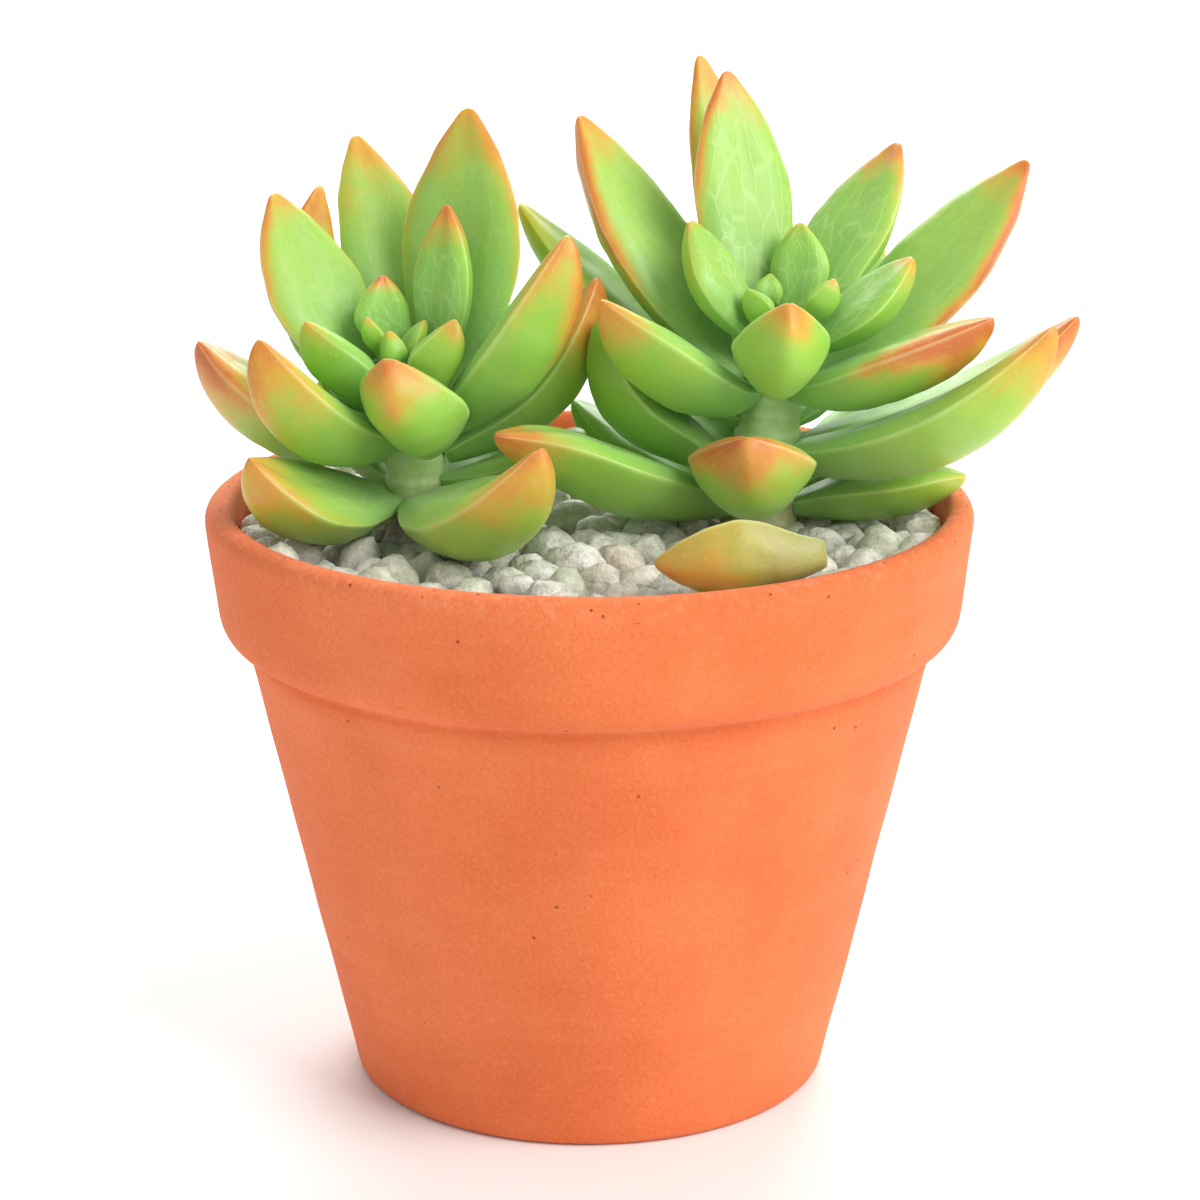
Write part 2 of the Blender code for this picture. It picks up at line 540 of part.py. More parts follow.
def main():
    clear_scene()
    clay = finish("terracotta", (0.68, 0.21, 0.085), 0.85)
    mix = finish("potting_mix", (0.06, 0.035, 0.02), 0.95)
    stones = finish("gravel", (0.62, 0.60, 0.55), 0.9)
    stalk = finish("stem_skin", (0.42, 0.52, 0.16), 0.55)
    skin = finish("leaf_skin", (0.36, 0.56, 0.10), 0.42)
    aged = finish("shed_leaf_skin", (0.38, 0.36, 0.10), 0.5)

    pot = turned(pot_profile(), POT_SEGMENTS)
    gravel = filling(SOIL_TOP + CLEARANCE, GRAVEL_TOP, STONE_RELIEF, STONE_PITCH)
    soil = filling(FLOOR_THICKNESS + CLEARANCE, SOIL_TOP, 0.0, STONE_PITCH)
    stems = {stem: stem_solid(stem) for stem in (LEFT, RIGHT)}

    names = [leaf.name for leaf in LEAVES] + [SHED_LEAF.name]
    shapes = [leaf_rings(leaf, leaf_root(leaf)) for leaf in LEAVES]
    shapes.append(leaf_rings(SHED_LEAF, np.array(SHED_LEAF_ROOT)))
    shapes = settle(shapes, [*LEAVES, SHED_LEAF], [rim_sections()])

    solids = [np.vstack((rings.reshape(-1, 3), tip)) for rings, tip in shapes]
    everything = np.vstack([*solids, np.array(pot[0])])
    middle = (everything.min(axis=0) + everything.max(axis=0)) / 2
    stand = bpy.data.objects.new("stand", None)
    bpy.context.collection.objects.link(stand)
    stand.location = (-middle[0], -middle[1], 0.0)

    add_object("pot", *pot, clay, stand)
    soil_object = add_object("potting_mix", *soil, mix, stand)
    gravel_object = add_object("gravel", *gravel, stones, stand)
    for stem, solid in stems.items():
        add_object(stem.name, *solid, stalk, stand)
        cut_socket(stem, stand, (soil_object, gravel_object))
    for name, points in zip(names, solids):
        add_object(name, points, tube_faces(len(RING_PLACES), len(SECTION)),
                   aged if name == SHED_LEAF.name else skin, stand)


def cut_socket(stem, stand, beds):
    """Open a round hole for a stem in the beds that it grows out of."""
    depth = STEM_DEPTH + CLEARANCE
    height = depth + GRAVEL_DROP
    bpy.ops.mesh.primitive_cylinder_add(vertices=STEM_SIDES, radius=stem.radius + SOCKET_GAP,
                                        depth=height, rotation=(0, 0, math.radians(90)))
    cutter = bpy.context.object
    cutter.name = stem.name + "_socket"
    cutter.parent = stand
    cutter.location = (stem.x, stem.y, GRAVEL_TOP - depth + height / 2)
    cutter.hide_render = True
    cutter.display_type = "WIRE"
    for bed in beds:
        cut = bed.modifiers.new(cutter.name, "BOOLEAN")
        cut.operation = "DIFFERENCE"
        cut.solver = "EXACT"
        cut.object = cutter


main()
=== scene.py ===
import math
from collections import namedtuple

import bpy
import numpy as np
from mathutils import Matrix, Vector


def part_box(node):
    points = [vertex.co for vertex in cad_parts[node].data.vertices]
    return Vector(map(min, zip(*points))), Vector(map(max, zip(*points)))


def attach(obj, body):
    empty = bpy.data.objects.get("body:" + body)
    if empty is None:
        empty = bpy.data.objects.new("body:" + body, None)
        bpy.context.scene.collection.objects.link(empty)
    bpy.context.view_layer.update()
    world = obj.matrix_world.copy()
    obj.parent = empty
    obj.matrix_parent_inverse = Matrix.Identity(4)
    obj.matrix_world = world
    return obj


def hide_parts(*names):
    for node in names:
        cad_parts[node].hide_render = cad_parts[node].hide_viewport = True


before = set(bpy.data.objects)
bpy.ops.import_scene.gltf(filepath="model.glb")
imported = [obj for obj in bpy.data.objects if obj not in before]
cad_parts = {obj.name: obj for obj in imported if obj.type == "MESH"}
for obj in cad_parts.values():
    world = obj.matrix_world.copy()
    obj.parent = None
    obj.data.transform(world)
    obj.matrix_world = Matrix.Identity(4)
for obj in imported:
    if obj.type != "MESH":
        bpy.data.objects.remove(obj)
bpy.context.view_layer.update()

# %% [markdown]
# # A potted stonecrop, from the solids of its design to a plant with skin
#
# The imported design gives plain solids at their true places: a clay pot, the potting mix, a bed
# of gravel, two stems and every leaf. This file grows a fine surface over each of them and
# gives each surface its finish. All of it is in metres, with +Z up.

MM = 0.001
POT_LOW, POT_HIGH = (np.array(corner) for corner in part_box("pot"))
AXIS = (POT_LOW + POT_HIGH)[:2] / 2
RIM_RADIUS = float(POT_HIGH[0] - POT_LOW[0]) / 2
RIM_TOP = float(POT_HIGH[2])
RIM_STEP = 5.0 * MM     # from the rim down to the gravel
GRAVEL_TOP = RIM_TOP - RIM_STEP
print(f"pot axis at x {AXIS[0] / MM:.1f} mm, rim radius {RIM_RADIUS / MM:.1f}, height {RIM_TOP / MM:.1f}")

# %% [markdown]
# ## Camera
#
# The plant is seen from a little above, as someone sees a pot on a table in front of them. A
# long lens half a metre away keeps the two rosettes at nearly the same scale. The camera looks
# at a point halfway up the whole plant and pot, so that both ends are in the frame.

# %% Where the camera stands
CAMERA_DISTANCE = 500 * MM
CAMERA_ELEVATION = math.radians(16.2)
FOCAL_LENGTH, SENSOR_WIDTH = 108.8, 36.0    # these two alone are in millimetres, as on a lens
LOOK_AT = np.array([AXIS[0] + 1.4 * MM, AXIS[1], 67 * MM])


def add_camera():
    """A camera on a circle round the point it looks at, turned down by its elevation."""
    lens = bpy.data.cameras.new("camera")
    lens.lens, lens.sensor_width = FOCAL_LENGTH, SENSOR_WIDTH
    lens.clip_end = 20.0
    camera = bpy.data.objects.new("camera", lens)
    bpy.context.scene.collection.objects.link(camera)
    back = np.array([0.0, -math.cos(CAMERA_ELEVATION), math.sin(CAMERA_ELEVATION)])
    camera.location = LOOK_AT + CAMERA_DISTANCE * back
    camera.rotation_euler = (math.pi / 2 - CAMERA_ELEVATION, 0.0, 0.0)
    bpy.context.scene.camera = camera


add_camera()
print(f"camera {CAMERA_DISTANCE / MM:.0f} mm away, looking {math.degrees(CAMERA_ELEVATION):.1f} degrees down")

# %% [markdown]
# ## Meshes from whole arrays
#
# Every shape below is a sheet: a grid of points with rows and columns. A leaf is a grid of
# "along" by "around", and a pot is a grid of "outline" by "turn". One function turns any such
# grid into a mesh. The grid can join up on itself round its columns, and a row that has shrunk
# to a point is closed with a fan, so that no shape has an open end.

# %% From a grid of points to an object


def grid_faces(rows, columns, close_rows=False):
    """Quads between neighbours of a grid whose columns run round in a ring."""
    row = np.arange(rows if close_rows else rows - 1)[:, None]
    column = np.arange(columns)[None, :]
    here, right = row * columns, (column + 1) % columns
    above = (row + 1) % rows * columns
    return np.stack((here + column, here + right, above + right, above + column), -1).reshape(-1, 4)


def fan_faces(ring, tip):
    """Triangles from each side of a ring of point numbers to one tip."""
    ring = np.asarray(ring)
    return np.column_stack((ring, np.roll(ring, -1), np.full(len(ring), tip)))


def end_fans(rows, columns):
    """Fans that close a grid's first and last ring, to the two points that follow the grid's."""
    count = rows * columns
    return np.vstack((fan_faces(range(columns), count)[:, ::-1],
                      fan_faces(range(count - columns, count), count + 1)))


def make_piece(name, points, quads, triangles, material, nodes, fields=()):
    """An object from arrays of points, quads and triangles, which rides on the pot's body.

    The fields are (name, values) pairs: one number for every point, for the finish to read.
    """
    quads, triangles = np.asarray(quads).reshape(-1, 4), np.asarray(triangles).reshape(-1, 3)
    mesh = bpy.data.meshes.new(name)
    mesh.vertices.add(len(points))
    mesh.vertices.foreach_set("co", np.asarray(points, np.float32).ravel())
    loops = np.concatenate((quads.ravel(), triangles.ravel())).astype(np.int32)
    sizes = np.concatenate((np.full(len(quads), 4), np.full(len(triangles), 3)))
    starts = np.concatenate(([0], np.cumsum(sizes)[:-1])).astype(np.int32)
    mesh.loops.add(len(loops))
    mesh.loops.foreach_set("vertex_index", loops)
    mesh.polygons.add(len(sizes))
    mesh.polygons.foreach_set("loop_start", starts)
    for label, values in fields:
        layer = mesh.attributes.new(label, "FLOAT", "POINT")
        layer.data.foreach_set("value", np.asarray(values, np.float32).ravel())
    mesh.update(calc_edges=True)
    mesh.validate()
    mesh.shade_smooth()
    mesh.materials.append(material)
    piece = bpy.data.objects.new(name, mesh)
    bpy.context.scene.collection.objects.link(piece)
    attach(piece, "root")
    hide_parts(*nodes)
    return piece


def unit(vectors):
    """Vectors of length one."""
    return vectors / np.linalg.norm(vectors, axis=-1, keepdims=True)


def lumps(points, size, seed, waves=9):
    """Smooth random bumps, about -1 to 1: the mean of a few sine waves in random directions.

    Each wave is sin(k . p + phase), with k of length 2 pi / size times a random 0.6 to 1.5.
    """
    random = np.random.default_rng(seed)
    ways = random.normal(size=(waves, 3))
    ways *= (2 * math.pi / size * random.uniform(0.6, 1.5, (waves, 1))
             / np.linalg.norm(ways, axis=1, keepdims=True))
    phases = random.uniform(0, 2 * math.pi, waves)
    return np.sin(np.asarray(points) @ ways.T + phases).mean(axis=-1) * math.sqrt(waves) * 0.7


# %% [markdown]
# ## Reading the solids of the design
#
# The design's solids come in as loose triangles. Merging equal corners gives each solid its
# real points and edges back, and from those the outline of the pot and the rings of a leaf can
# be read. Nothing is measured twice: if the design changes, these surfaces follow it.

# %% Points and edges of one solid


def solid_points(node):
    """The separate points of a design solid, and for each point the set of its neighbours."""
    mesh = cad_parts[node].data
    flat = np.empty(len(mesh.vertices) * 3, np.float32)
    mesh.vertices.foreach_get("co", flat)
    corners = np.empty(len(mesh.loops), np.int32)
    mesh.loops.foreach_get("vertex_index", corners)
    keys, first, merged = np.unique(np.round(flat.reshape(-1, 3) * 1e6).astype(int), axis=0,
                                    return_index=True, return_inverse=True)
    points = flat.reshape(-1, 3)[first].astype(float)
    near = [set() for _ in keys]
    for triangle in merged.ravel()[corners].reshape(-1, 3):
        for corner in triangle:
            near[corner].update(int(other) for other in triangle if other != corner)
    return points, near


print("the pot's solid has", len(solid_points("pot")[0]), "points")

# %% [markdown]
# ## Shader helpers
#
# A finish here is a small web of nodes. These helpers keep the web readable: one adds a node
# and wires its inputs, one mixes two colours, one makes a colour ramp, and one makes noise on
# the object's own coordinates, so that a pattern has a true size in metres.

# %% Nodes in one line each


def new_finish(name):
    """An empty material: its node tree, its Principled shader and its object coordinates."""
    material = bpy.data.materials.new(name)
    material.use_nodes = True
    tree = material.node_tree
    shader = tree.nodes["Principled BSDF"]
    place = tree.nodes.new("ShaderNodeTexCoord").outputs["Object"]
    return material, tree, shader, place


def wire(tree, node, values):
    """Put numbers, colours or other nodes' outputs into a node's inputs, by name or number."""
    for key, value in values.items():
        if isinstance(value, bpy.types.NodeSocket):
            tree.links.new(value, node.inputs[key])
        else:
            node.inputs[key].default_value = value
    return node


def math_node(tree, operation, *values):
    """One sum on up to three numbers or outputs."""
    node = tree.nodes.new("ShaderNodeMath")
    node.operation = operation
    return wire(tree, node, dict(enumerate(values))).outputs[0]


def times(tree, first, second):
    """The product of two numbers or outputs."""
    return math_node(tree, "MULTIPLY", first, second)


def mix(tree, share, low, high):
    """Blend two colours by a share from 0 to 1."""
    node = tree.nodes.new("ShaderNodeMix")
    node.data_type = "RGBA"
    node.clamp_factor = True
    colours = {6: low, 7: high}
    values = {key: (*v, 1.0) if isinstance(v, tuple) else v for key, v in colours.items()}
    return wire(tree, node, {0: share, **values}).outputs[2]


def ramp(tree, share, *stops):
    """A colour or a grey for each share, blended between the stops (place, colour or grey)."""
    node = tree.nodes.new("ShaderNodeValToRGB")
    line = node.color_ramp
    while len(line.elements) < len(stops):
        line.elements.new(0.5)
    for element, (place, colour) in zip(line.elements, stops):
        element.position = place
        element.color = (*colour, 1.0) if isinstance(colour, tuple) else (colour,) * 3 + (1.0,)
    return wire(tree, node, {0: share}).outputs[0]


# %% Patterns with a true size


def noise(tree, place, size, detail=3.0, roughness=0.5, stretch=None):
    """Cloudy noise with features about one size across, or stretched along an axis."""
    if stretch:
        scaled = tree.nodes.new("ShaderNodeMapping")
        place = wire(tree, scaled, {"Vector": place, "Scale": stretch}).outputs[0]
    node = tree.nodes.new("ShaderNodeTexNoise")
    return wire(tree, node, {"Vector": place, "Scale": 1 / size, "Detail": detail,
                             "Roughness": roughness}).outputs["Fac"]


def cells(tree, place, size, feature="F1"):
    """A node of random cells about one size across, with the distance to a cell's middle or edge."""
    node = tree.nodes.new("ShaderNodeTexVoronoi")
    node.feature = feature
    return wire(tree, node, {"Vector": place, "Scale": 1 / size})


def round_spots(tree, place, size, full, none):
    """Round spots, one in each random cell, and a random number for each cell.

    A spot is 1 up to a share full of the cell's size from its middle, and 0 beyond a share none.
    """
    node = cells(tree, place, size)
    number = tree.nodes.new("ShaderNodeSeparateColor")
    wire(tree, number, {0: node.outputs["Color"]})
    return ramp(tree, node.outputs["Distance"], (full, 1.0), (none, 0.0)), number.outputs


def field(tree, name):
    """A number that the mesh carries at every point."""
    node = tree.nodes.new("ShaderNodeAttribute")
    node.attribute_name = name
    return node.outputs["Fac"]


def bumps(tree, shader, *layers):
    """Stack bump layers (height output, depth in metres) on the shader's normal."""
    normal = None
    for height, depth in layers:
        node = tree.nodes.new("ShaderNodeBump")
        wire(tree, node, {"Height": height, "Distance": depth, "Strength": 1.0})
        if normal is not None:
            tree.links.new(normal, node.inputs["Normal"])
        normal = node.outputs[0]
    tree.links.new(normal, shader.inputs["Normal"])


# %% [markdown]
# ## Clay: the pot's finish
#
# A plain clay pot is fired earthenware with no glaze. Its orange isn't even: fine sand in the
# clay leaves a grain, the kiln leaves paler and redder clouds, and on the wall the turning
# leaves faint level lines. The rim has the most pits, darkened inside with painted shade, and
# rubbed, paler specks. Real clay scatters light softly and has no shine, so the roughness is
# high and the gloss low.

# %% The clay finish
CLAY = (0.80, 0.200, 0.068)
CLAY_RED = (0.72, 0.160, 0.050)
CLAY_PALE = (0.90, 0.30, 0.125)


def clay_finish():
    """Fired clay: clouds of red and pale clay, sand grain, pits darkened inside with painted shade, and
    rubbed specks at the rim.
    """
    material, tree, shader, place = new_finish("terracotta")
    clouds = noise(tree, place, 22 * MM, 4, 0.55)
    lines = noise(tree, place, 9 * MM, 3, 0.6, (0.12, 0.12, 2.4))
    grain = noise(tree, place, 0.55 * MM, 3, 0.6)
    colour = mix(tree, ramp(tree, clouds, (0.38, 0.0), (0.66, 1.0)), CLAY_RED, CLAY)
    colour = mix(tree, ramp(tree, lines, (0.50, 0.0), (0.85, 0.22)), colour, CLAY_PALE)
    colour = mix(tree, ramp(tree, grain, (0.30, 0.30), (0.50, 0.0)), colour, (0.62, 0.120, 0.036))
    colour = mix(tree, ramp(tree, grain, (0.55, 0.0), (0.78, 0.22)), colour, (0.95, 0.38, 0.18))

    spot, chosen = round_spots(tree, place, 1.5 * MM, 0.08, 0.17)
    rim = field(tree, "rim")
    few = math_node(tree, "GREATER_THAN", chosen[0],
                    math_node(tree, "SUBTRACT", 0.985, times(tree, rim, 0.40)))
    pit = times(tree, spot, few)
    # Painted shade: each pit is darkened as if shade lay inside it.
    colour = mix(tree, times(tree, pit, 0.75), colour, (0.22, 0.055, 0.022))
    rubbed = ramp(tree, noise(tree, place, 1.6 * MM, 4, 0.7), (0.50, 0.0), (0.66, 1.0))
    rubbed = times(tree, rubbed, rim)
    colour = mix(tree, times(tree, rubbed, 0.20), colour, (0.93, 0.50, 0.32))
    wire(tree, shader, {"Base Color": colour, "Roughness": ramp(tree, grain, (0.3, 0.92), (0.7, 0.74)),
                        "Specular IOR Level": 0.22, "Sheen Weight": 0.05})
    sunk = math_node(tree, "SUBTRACT", 1.0, pit)
    bumps(tree, shader, (lines, 0.06 * MM), (grain, 0.15 * MM), (sunk, 0.25 * MM))
    return material


clay = clay_finish()
print("clay finish with", len(clay.node_tree.nodes), "nodes")

# %% [markdown]
# ## The clay pot
#
# The pot is made on a wheel, so it is one outline turned about its axis. The design's solid
# has that outline in the upright half-plane through its axis, as short straight pieces. Wet
# clay has no sharp corner, because a wet sponge has rounded them all. So the outline is walked
# in even small steps and each point is averaged with its neighbours, and then it is turned.

# %% The outline of the pot, softened as by a sponge
OUTLINE_STEP = 0.55 * MM
SPONGE_PASSES = 2
POT_TURNS = 150
GROOVE_DEPTH, GROOVE_WIDTH = 0.45 * MM, 0.9 * MM


def pot_outline():
    """Radius and height along the pot's outline, from the drain hole round by the rim."""
    points, near = solid_points("pot")
    points[:, :2] -= AXIS
    flat = {k for k, p in enumerate(points) if abs(p[1]) < 1e-5 and p[0] > 0}
    radius = {k: points[k][0] for k in flat}
    start = min(flat, key=lambda k: (points[k][2], radius[k]))
    path = [start]
    onward = max((near[start] & flat), key=lambda k: radius[k])
    while onward != start:
        path.append(onward)
        options = (near[onward] & flat) - {path[-2]}
        onward = next(iter(options - set(path[1:])), start)
    return np.array([(points[k][0], points[k][2]) for k in path])


def soften(outline, step, passes):
    """Walk a closed outline in even steps and average each point with its two neighbours."""
    loop = np.vstack((outline, outline[:1]))
    travelled = np.concatenate(([0], np.cumsum(np.linalg.norm(np.diff(loop, axis=0), axis=1))))
    wanted = np.linspace(0, travelled[-1], round(travelled[-1] / step), endpoint=False)
    walked = np.column_stack([np.interp(wanted, travelled, loop[:, k]) for k in (0, 1)])
    for _ in range(passes):
        walked = (np.roll(walked, 1, axis=0) + 2 * walked + np.roll(walked, -1, axis=0)) / 4
    return walked


# %% Turning the outline, with a groove under the band


def turned(outline, turns):
    """Turn an outline of (radius, height) about the pot's axis: x = r cos t, y = r sin t."""
    angle = np.linspace(0, 2 * math.pi, turns, endpoint=False)
    radius, height = outline[:, :1], outline[:, 1:]
    return np.stack((AXIS[0] + radius * np.cos(angle), AXIS[1] + radius * np.sin(angle),
                     np.broadcast_to(height, (len(outline), turns))), -1)


def groove(outline):
    """Press a fine line in where the outer wall meets the rim band, as a turning tool does.

    The place is the point of the outer wall, in the pot's upper half, where the wall turns in
    most sharply. The radius there is cut by depth * exp(-(distance / width)^2).
    """
    before, after = np.roll(outline, 1, axis=0) - outline, np.roll(outline, -1, axis=0) - outline
    turn = before[:, 0] * after[:, 1] - before[:, 1] * after[:, 0]
    outer = ((outline[:, 1] > 0.6 * RIM_TOP) & (outline[:, 1] < RIM_TOP - 8 * MM)
             & (np.arange(len(outline)) < np.argmax(outline[:, 1])))
    score = np.where(outer, turn * np.sign(turn[outer][np.abs(turn[outer]).argmax()]), -1)
    away = np.linalg.norm(outline - outline[np.argmax(score)], axis=1)
    cut = outline.copy()
    cut[:, 0] -= GROOVE_DEPTH * np.exp(-(away / GROOVE_WIDTH) ** 2) * outer
    return cut, outline[np.argmax(score)]


outline, crease = groove(soften(pot_outline(), OUTLINE_STEP, SPONGE_PASSES))
pot_points = turned(outline, POT_TURNS).reshape(-1, 3)
wander = 0.10 * MM * lumps(pot_points * (1, 1, 2.5), 38 * MM, 3)
away = pot_points[:, :2] - AXIS
pot_points[:, :2] += away / np.linalg.norm(away, axis=1, keepdims=True) * (wander - 0.05 * MM)[:, None]
closeness = 1 - np.abs(pot_points[:, 2] - RIM_TOP) / (4 * MM)
pot_faces = grid_faces(len(outline), POT_TURNS, close_rows=True)[:, ::-1]
make_piece("clay_pot", pot_points, pot_faces, (), clay, ["pot"],
           [("rim", np.clip(closeness, 0, 1))])
print(f"pot outline of {len(outline)} points, {len(pot_faces)} faces; the band ends",
      f"{crease[1] / MM:.1f} mm up, at radius {crease[0] / MM:.1f}")

# %% [markdown]
# ## Potting mix
#
# Under the stones the pot is full of potting mix: dark peat and bark with a little grit. Only
# a few dark gaps of it show between the stones, and the disc of it in the drain hole. It is a
# turned block too, with crumbs pushed up out of its top.

# %% The potting mix
MIX_TOP = float(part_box("potting_mix")[1][2])
MIX_BOTTOM = float(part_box("potting_mix")[0][2])
CRUMB_HEIGHT, GRIT_HEIGHT = 1.3 * MM, 0.5 * MM
MIX_SIDE_ROWS, MIX_TOP_ROWS, MIX_TURNS = 14, 46, 120
WALL_GAP = 0.4 * MM


def mix_finish():
    """Peat and bark: near-black brown with fibres and paler crumbs, and no shine."""
    material, tree, shader, place = new_finish("potting_mix")
    crumbs = noise(tree, place, 1.4 * MM, 5, 0.65)
    colour = ramp(tree, crumbs, (0.30, (0.020, 0.012, 0.007)), (0.52, (0.062, 0.036, 0.018)),
                  (0.72, (0.145, 0.092, 0.050)))
    wire(tree, shader, {"Base Color": colour, "Roughness": 0.95, "Specular IOR Level": 0.2})
    bumps(tree, shader, (crumbs, 0.6 * MM))
    return material


def bed_radius(height):
    """The pot's inside radius at a height, read from its outline, less a hair."""
    inside = outline[np.argmax(outline[:, 1]) + 1:]
    inside = inside[inside[:, 1] > MIX_BOTTOM][::-1]
    return np.interp(height, inside[:, 1], inside[:, 0]) - WALL_GAP


def mix_points():
    """A block that fills the pot: up its side, then over its crumbly top to the middle."""
    side = np.linspace(MIX_BOTTOM, MIX_TOP, MIX_SIDE_ROWS)
    top = bed_radius(MIX_TOP) * np.linspace(1, 0.02, MIX_TOP_ROWS)[1:]
    grid = turned(np.vstack((np.column_stack((bed_radius(side), side)),
                             np.column_stack((top, np.full(len(top), MIX_TOP))))), MIX_TURNS)
    lift = CRUMB_HEIGHT * lumps(grid, 5 * MM, 21) + GRIT_HEIGHT * lumps(grid, 1.9 * MM, 22)
    grid[MIX_SIDE_ROWS:, :, 2] += lift[MIX_SIDE_ROWS:] - 0.4 * MM
    return grid


mix_grid = mix_points()
rows, columns = mix_grid.shape[:2]
middles = np.array([[*AXIS, MIX_BOTTOM], [*AXIS, mix_grid[-1, :, 2].mean()]])
make_piece("potting_mix_fill", np.vstack((mix_grid.reshape(-1, 3), middles)),
           grid_faces(rows, columns), end_fans(rows, columns), mix_finish(), ["potting_mix"])
print(f"potting mix from {MIX_BOTTOM / MM:.1f} to {MIX_TOP / MM:.1f} mm")

# %% [markdown]
# ## Leaves, 1: from rings to a smooth spine
#
# A leaf of this plant is thick and boat-shaped: a shallow upper face, a full keel below, soft
# edges where they meet, and a blunt point. The design's solid has eight rings of ten points
# and a tip. Each ring gives four things: the middle of the leaf there, how wide it is and in
# which direction, and how thick it is and in which direction. Smooth curves through those
# values carry a much finer cross-section from the stem to the tip.

# %% Rings of a leaf solid
RING_SIZE = 10
WIDEST_RING = 4
TOP_SHARE, KEEL_SHARE = 0.22, 0.70    # how far the ring's top and keel lie from its spine


def leaf_layers(node):
    """The rings of a leaf solid from its tip down: points at equal walks from the tip."""
    points, near = solid_points(node)
    for tip in sorted(range(len(points)), key=lambda k: -len(near[k])):
        layers, seen = [{tip}], {tip}
        while layers[-1]:
            layers.append(set().union(*(near[k] for k in layers[-1])) - seen)
            seen |= layers[-1]
        if all(len(layer) == RING_SIZE for layer in layers[1:-1]):
            return points[tip], [points[sorted(layer)] for layer in layers[-2:0:-1]]
    raise ValueError(node + " isn't built of rings round a tip")


def round_order(ring, along):
    """A ring's points in order round its middle, counted the same way for every ring."""
    middle = ring.mean(axis=0)
    side = np.cross(along, (0.3, 0.2, 0.93))
    up = np.cross(side, along)
    return ring[np.argsort(np.arctan2((ring - middle) @ up, (ring - middle) @ side))]


def begin_at_edge(ring, side=None):
    """Start a ring at one edge of the leaf, so that the other edge is four points on.

    The pair of edges is the one that lies farthest apart, or the one whose direction is
    closest to the side of the ring before.
    """
    pairs = ring - np.roll(ring, -4, axis=0)
    score = np.linalg.norm(pairs, axis=1) if side is None else unit(pairs) @ side
    start = np.argmax(score)
    return np.roll(ring, -start, axis=0), unit(pairs[start])


def leaf_stations(node):
    """Spine points, half-width vectors and thickness vectors of a leaf's rings, and its tip."""
    tip, rings = leaf_layers(node)
    middles = np.array([ring.mean(axis=0) for ring in rings] + [tip])
    rings = [round_order(ring, way) for ring, way in zip(rings, np.diff(middles, axis=0))]
    rings[WIDEST_RING], first_side = begin_at_edge(rings[WIDEST_RING])
    for order in (range(WIDEST_RING + 1, len(rings)), range(WIDEST_RING - 1, -1, -1)):
        side = first_side
        for k in order:
            rings[k], side = begin_at_edge(rings[k], side)
    rings = np.array(rings)
    half = (rings[:, 0] - rings[:, 4]) / 2
    thick = (rings[:, 2] - rings[:, 7]) / (TOP_SHARE + KEEL_SHARE)
    spine = rings[:, 2] - TOP_SHARE * thick
    return np.vstack((spine, tip)), half, thick


tall_spine, tall_half, _ = leaf_stations("left_leaf_06")
tall_length = np.linalg.norm(np.diff(tall_spine, axis=0), axis=1).sum()
tall_width = 2 * np.linalg.norm(tall_half, axis=1).max()
print(f"left_leaf_06 is {tall_length / MM:.1f} mm along its spine and {tall_width / MM:.1f} mm wide")

# %% [markdown]
# ## Leaves, 2: the fine surface
#
# The curve through the stations is a cubic with matched slopes, so it has no kinks. Width and
# thickness close to nothing at the tip like a power of the distance left, which makes a blunt
# point. So the curves run through a power of the widths instead, where the end is straight.
# The cross-section is one closed curve: a slightly dished face above, a full keel below.

# %% Curves through stations, and the cross-section
STATION_PLACES = np.array((0.0, 0.08, 0.22, 0.38, 0.54, 0.70, 0.83, 0.94, 1.0))
TIP_POWER = 0.50
ROOT_REACH = 0.045      # how far the fine leaf goes on towards the stem, as a share of its length


def through(places, values, wanted):
    """A smooth curve through values at places: cubics whose slopes are those of the chords.

    Between two places the curve is a Hermite cubic: h00 a + h10 d m0 + h01 b + h11 d m1.
    """
    places, values = np.asarray(places), np.asarray(values, float)
    slopes = np.gradient(values, places, axis=0)
    k = np.clip(np.searchsorted(places, wanted, side="right") - 1, 0, len(places) - 2)
    gap = (places[k + 1] - places[k])
    t = ((wanted - places[k]) / gap).reshape((-1,) + (1,) * (values.ndim - 1))
    gap = gap.reshape(t.shape)
    return ((2 * t ** 3 - 3 * t ** 2 + 1) * values[k] + (t ** 3 - 2 * t ** 2 + t) * gap * slopes[k]
            + (3 * t ** 2 - 2 * t ** 3) * values[k + 1] + (t ** 3 - t ** 2) * gap * slopes[k + 1])


def section(turn):
    """Across and up, as shares of half width and thickness, at a turn round the leaf.

    Across is cos(turn). Above, it's an arch 0.30 (1 - |across|^2.6)^0.9, less a dip in its middle.
    Below, it's a deeper arch 0.76 (1 - across^2)^0.78. Both are steep at the edges, so that the
    edge is round and not a knife.
    """
    across = np.cos(turn)
    arch = 0.30 * (1 - np.abs(across) ** 2.6) ** 0.9 - 0.14 * (1 - across ** 2) ** 3
    keel = 0.76 * (1 - across ** 2) ** 0.78
    return across, 0.06 + np.where(np.sin(turn) >= 0, arch, -keel)


def power_curve(lengths, wanted):
    """Lengths that close to nothing at the tip, carried as a straightened power."""
    straight = np.append(lengths ** (1 / TIP_POWER), 0.0)
    return np.maximum(through(STATION_PLACES, straight, wanted), 0.0) ** TIP_POWER


# %% The whole surface of one leaf


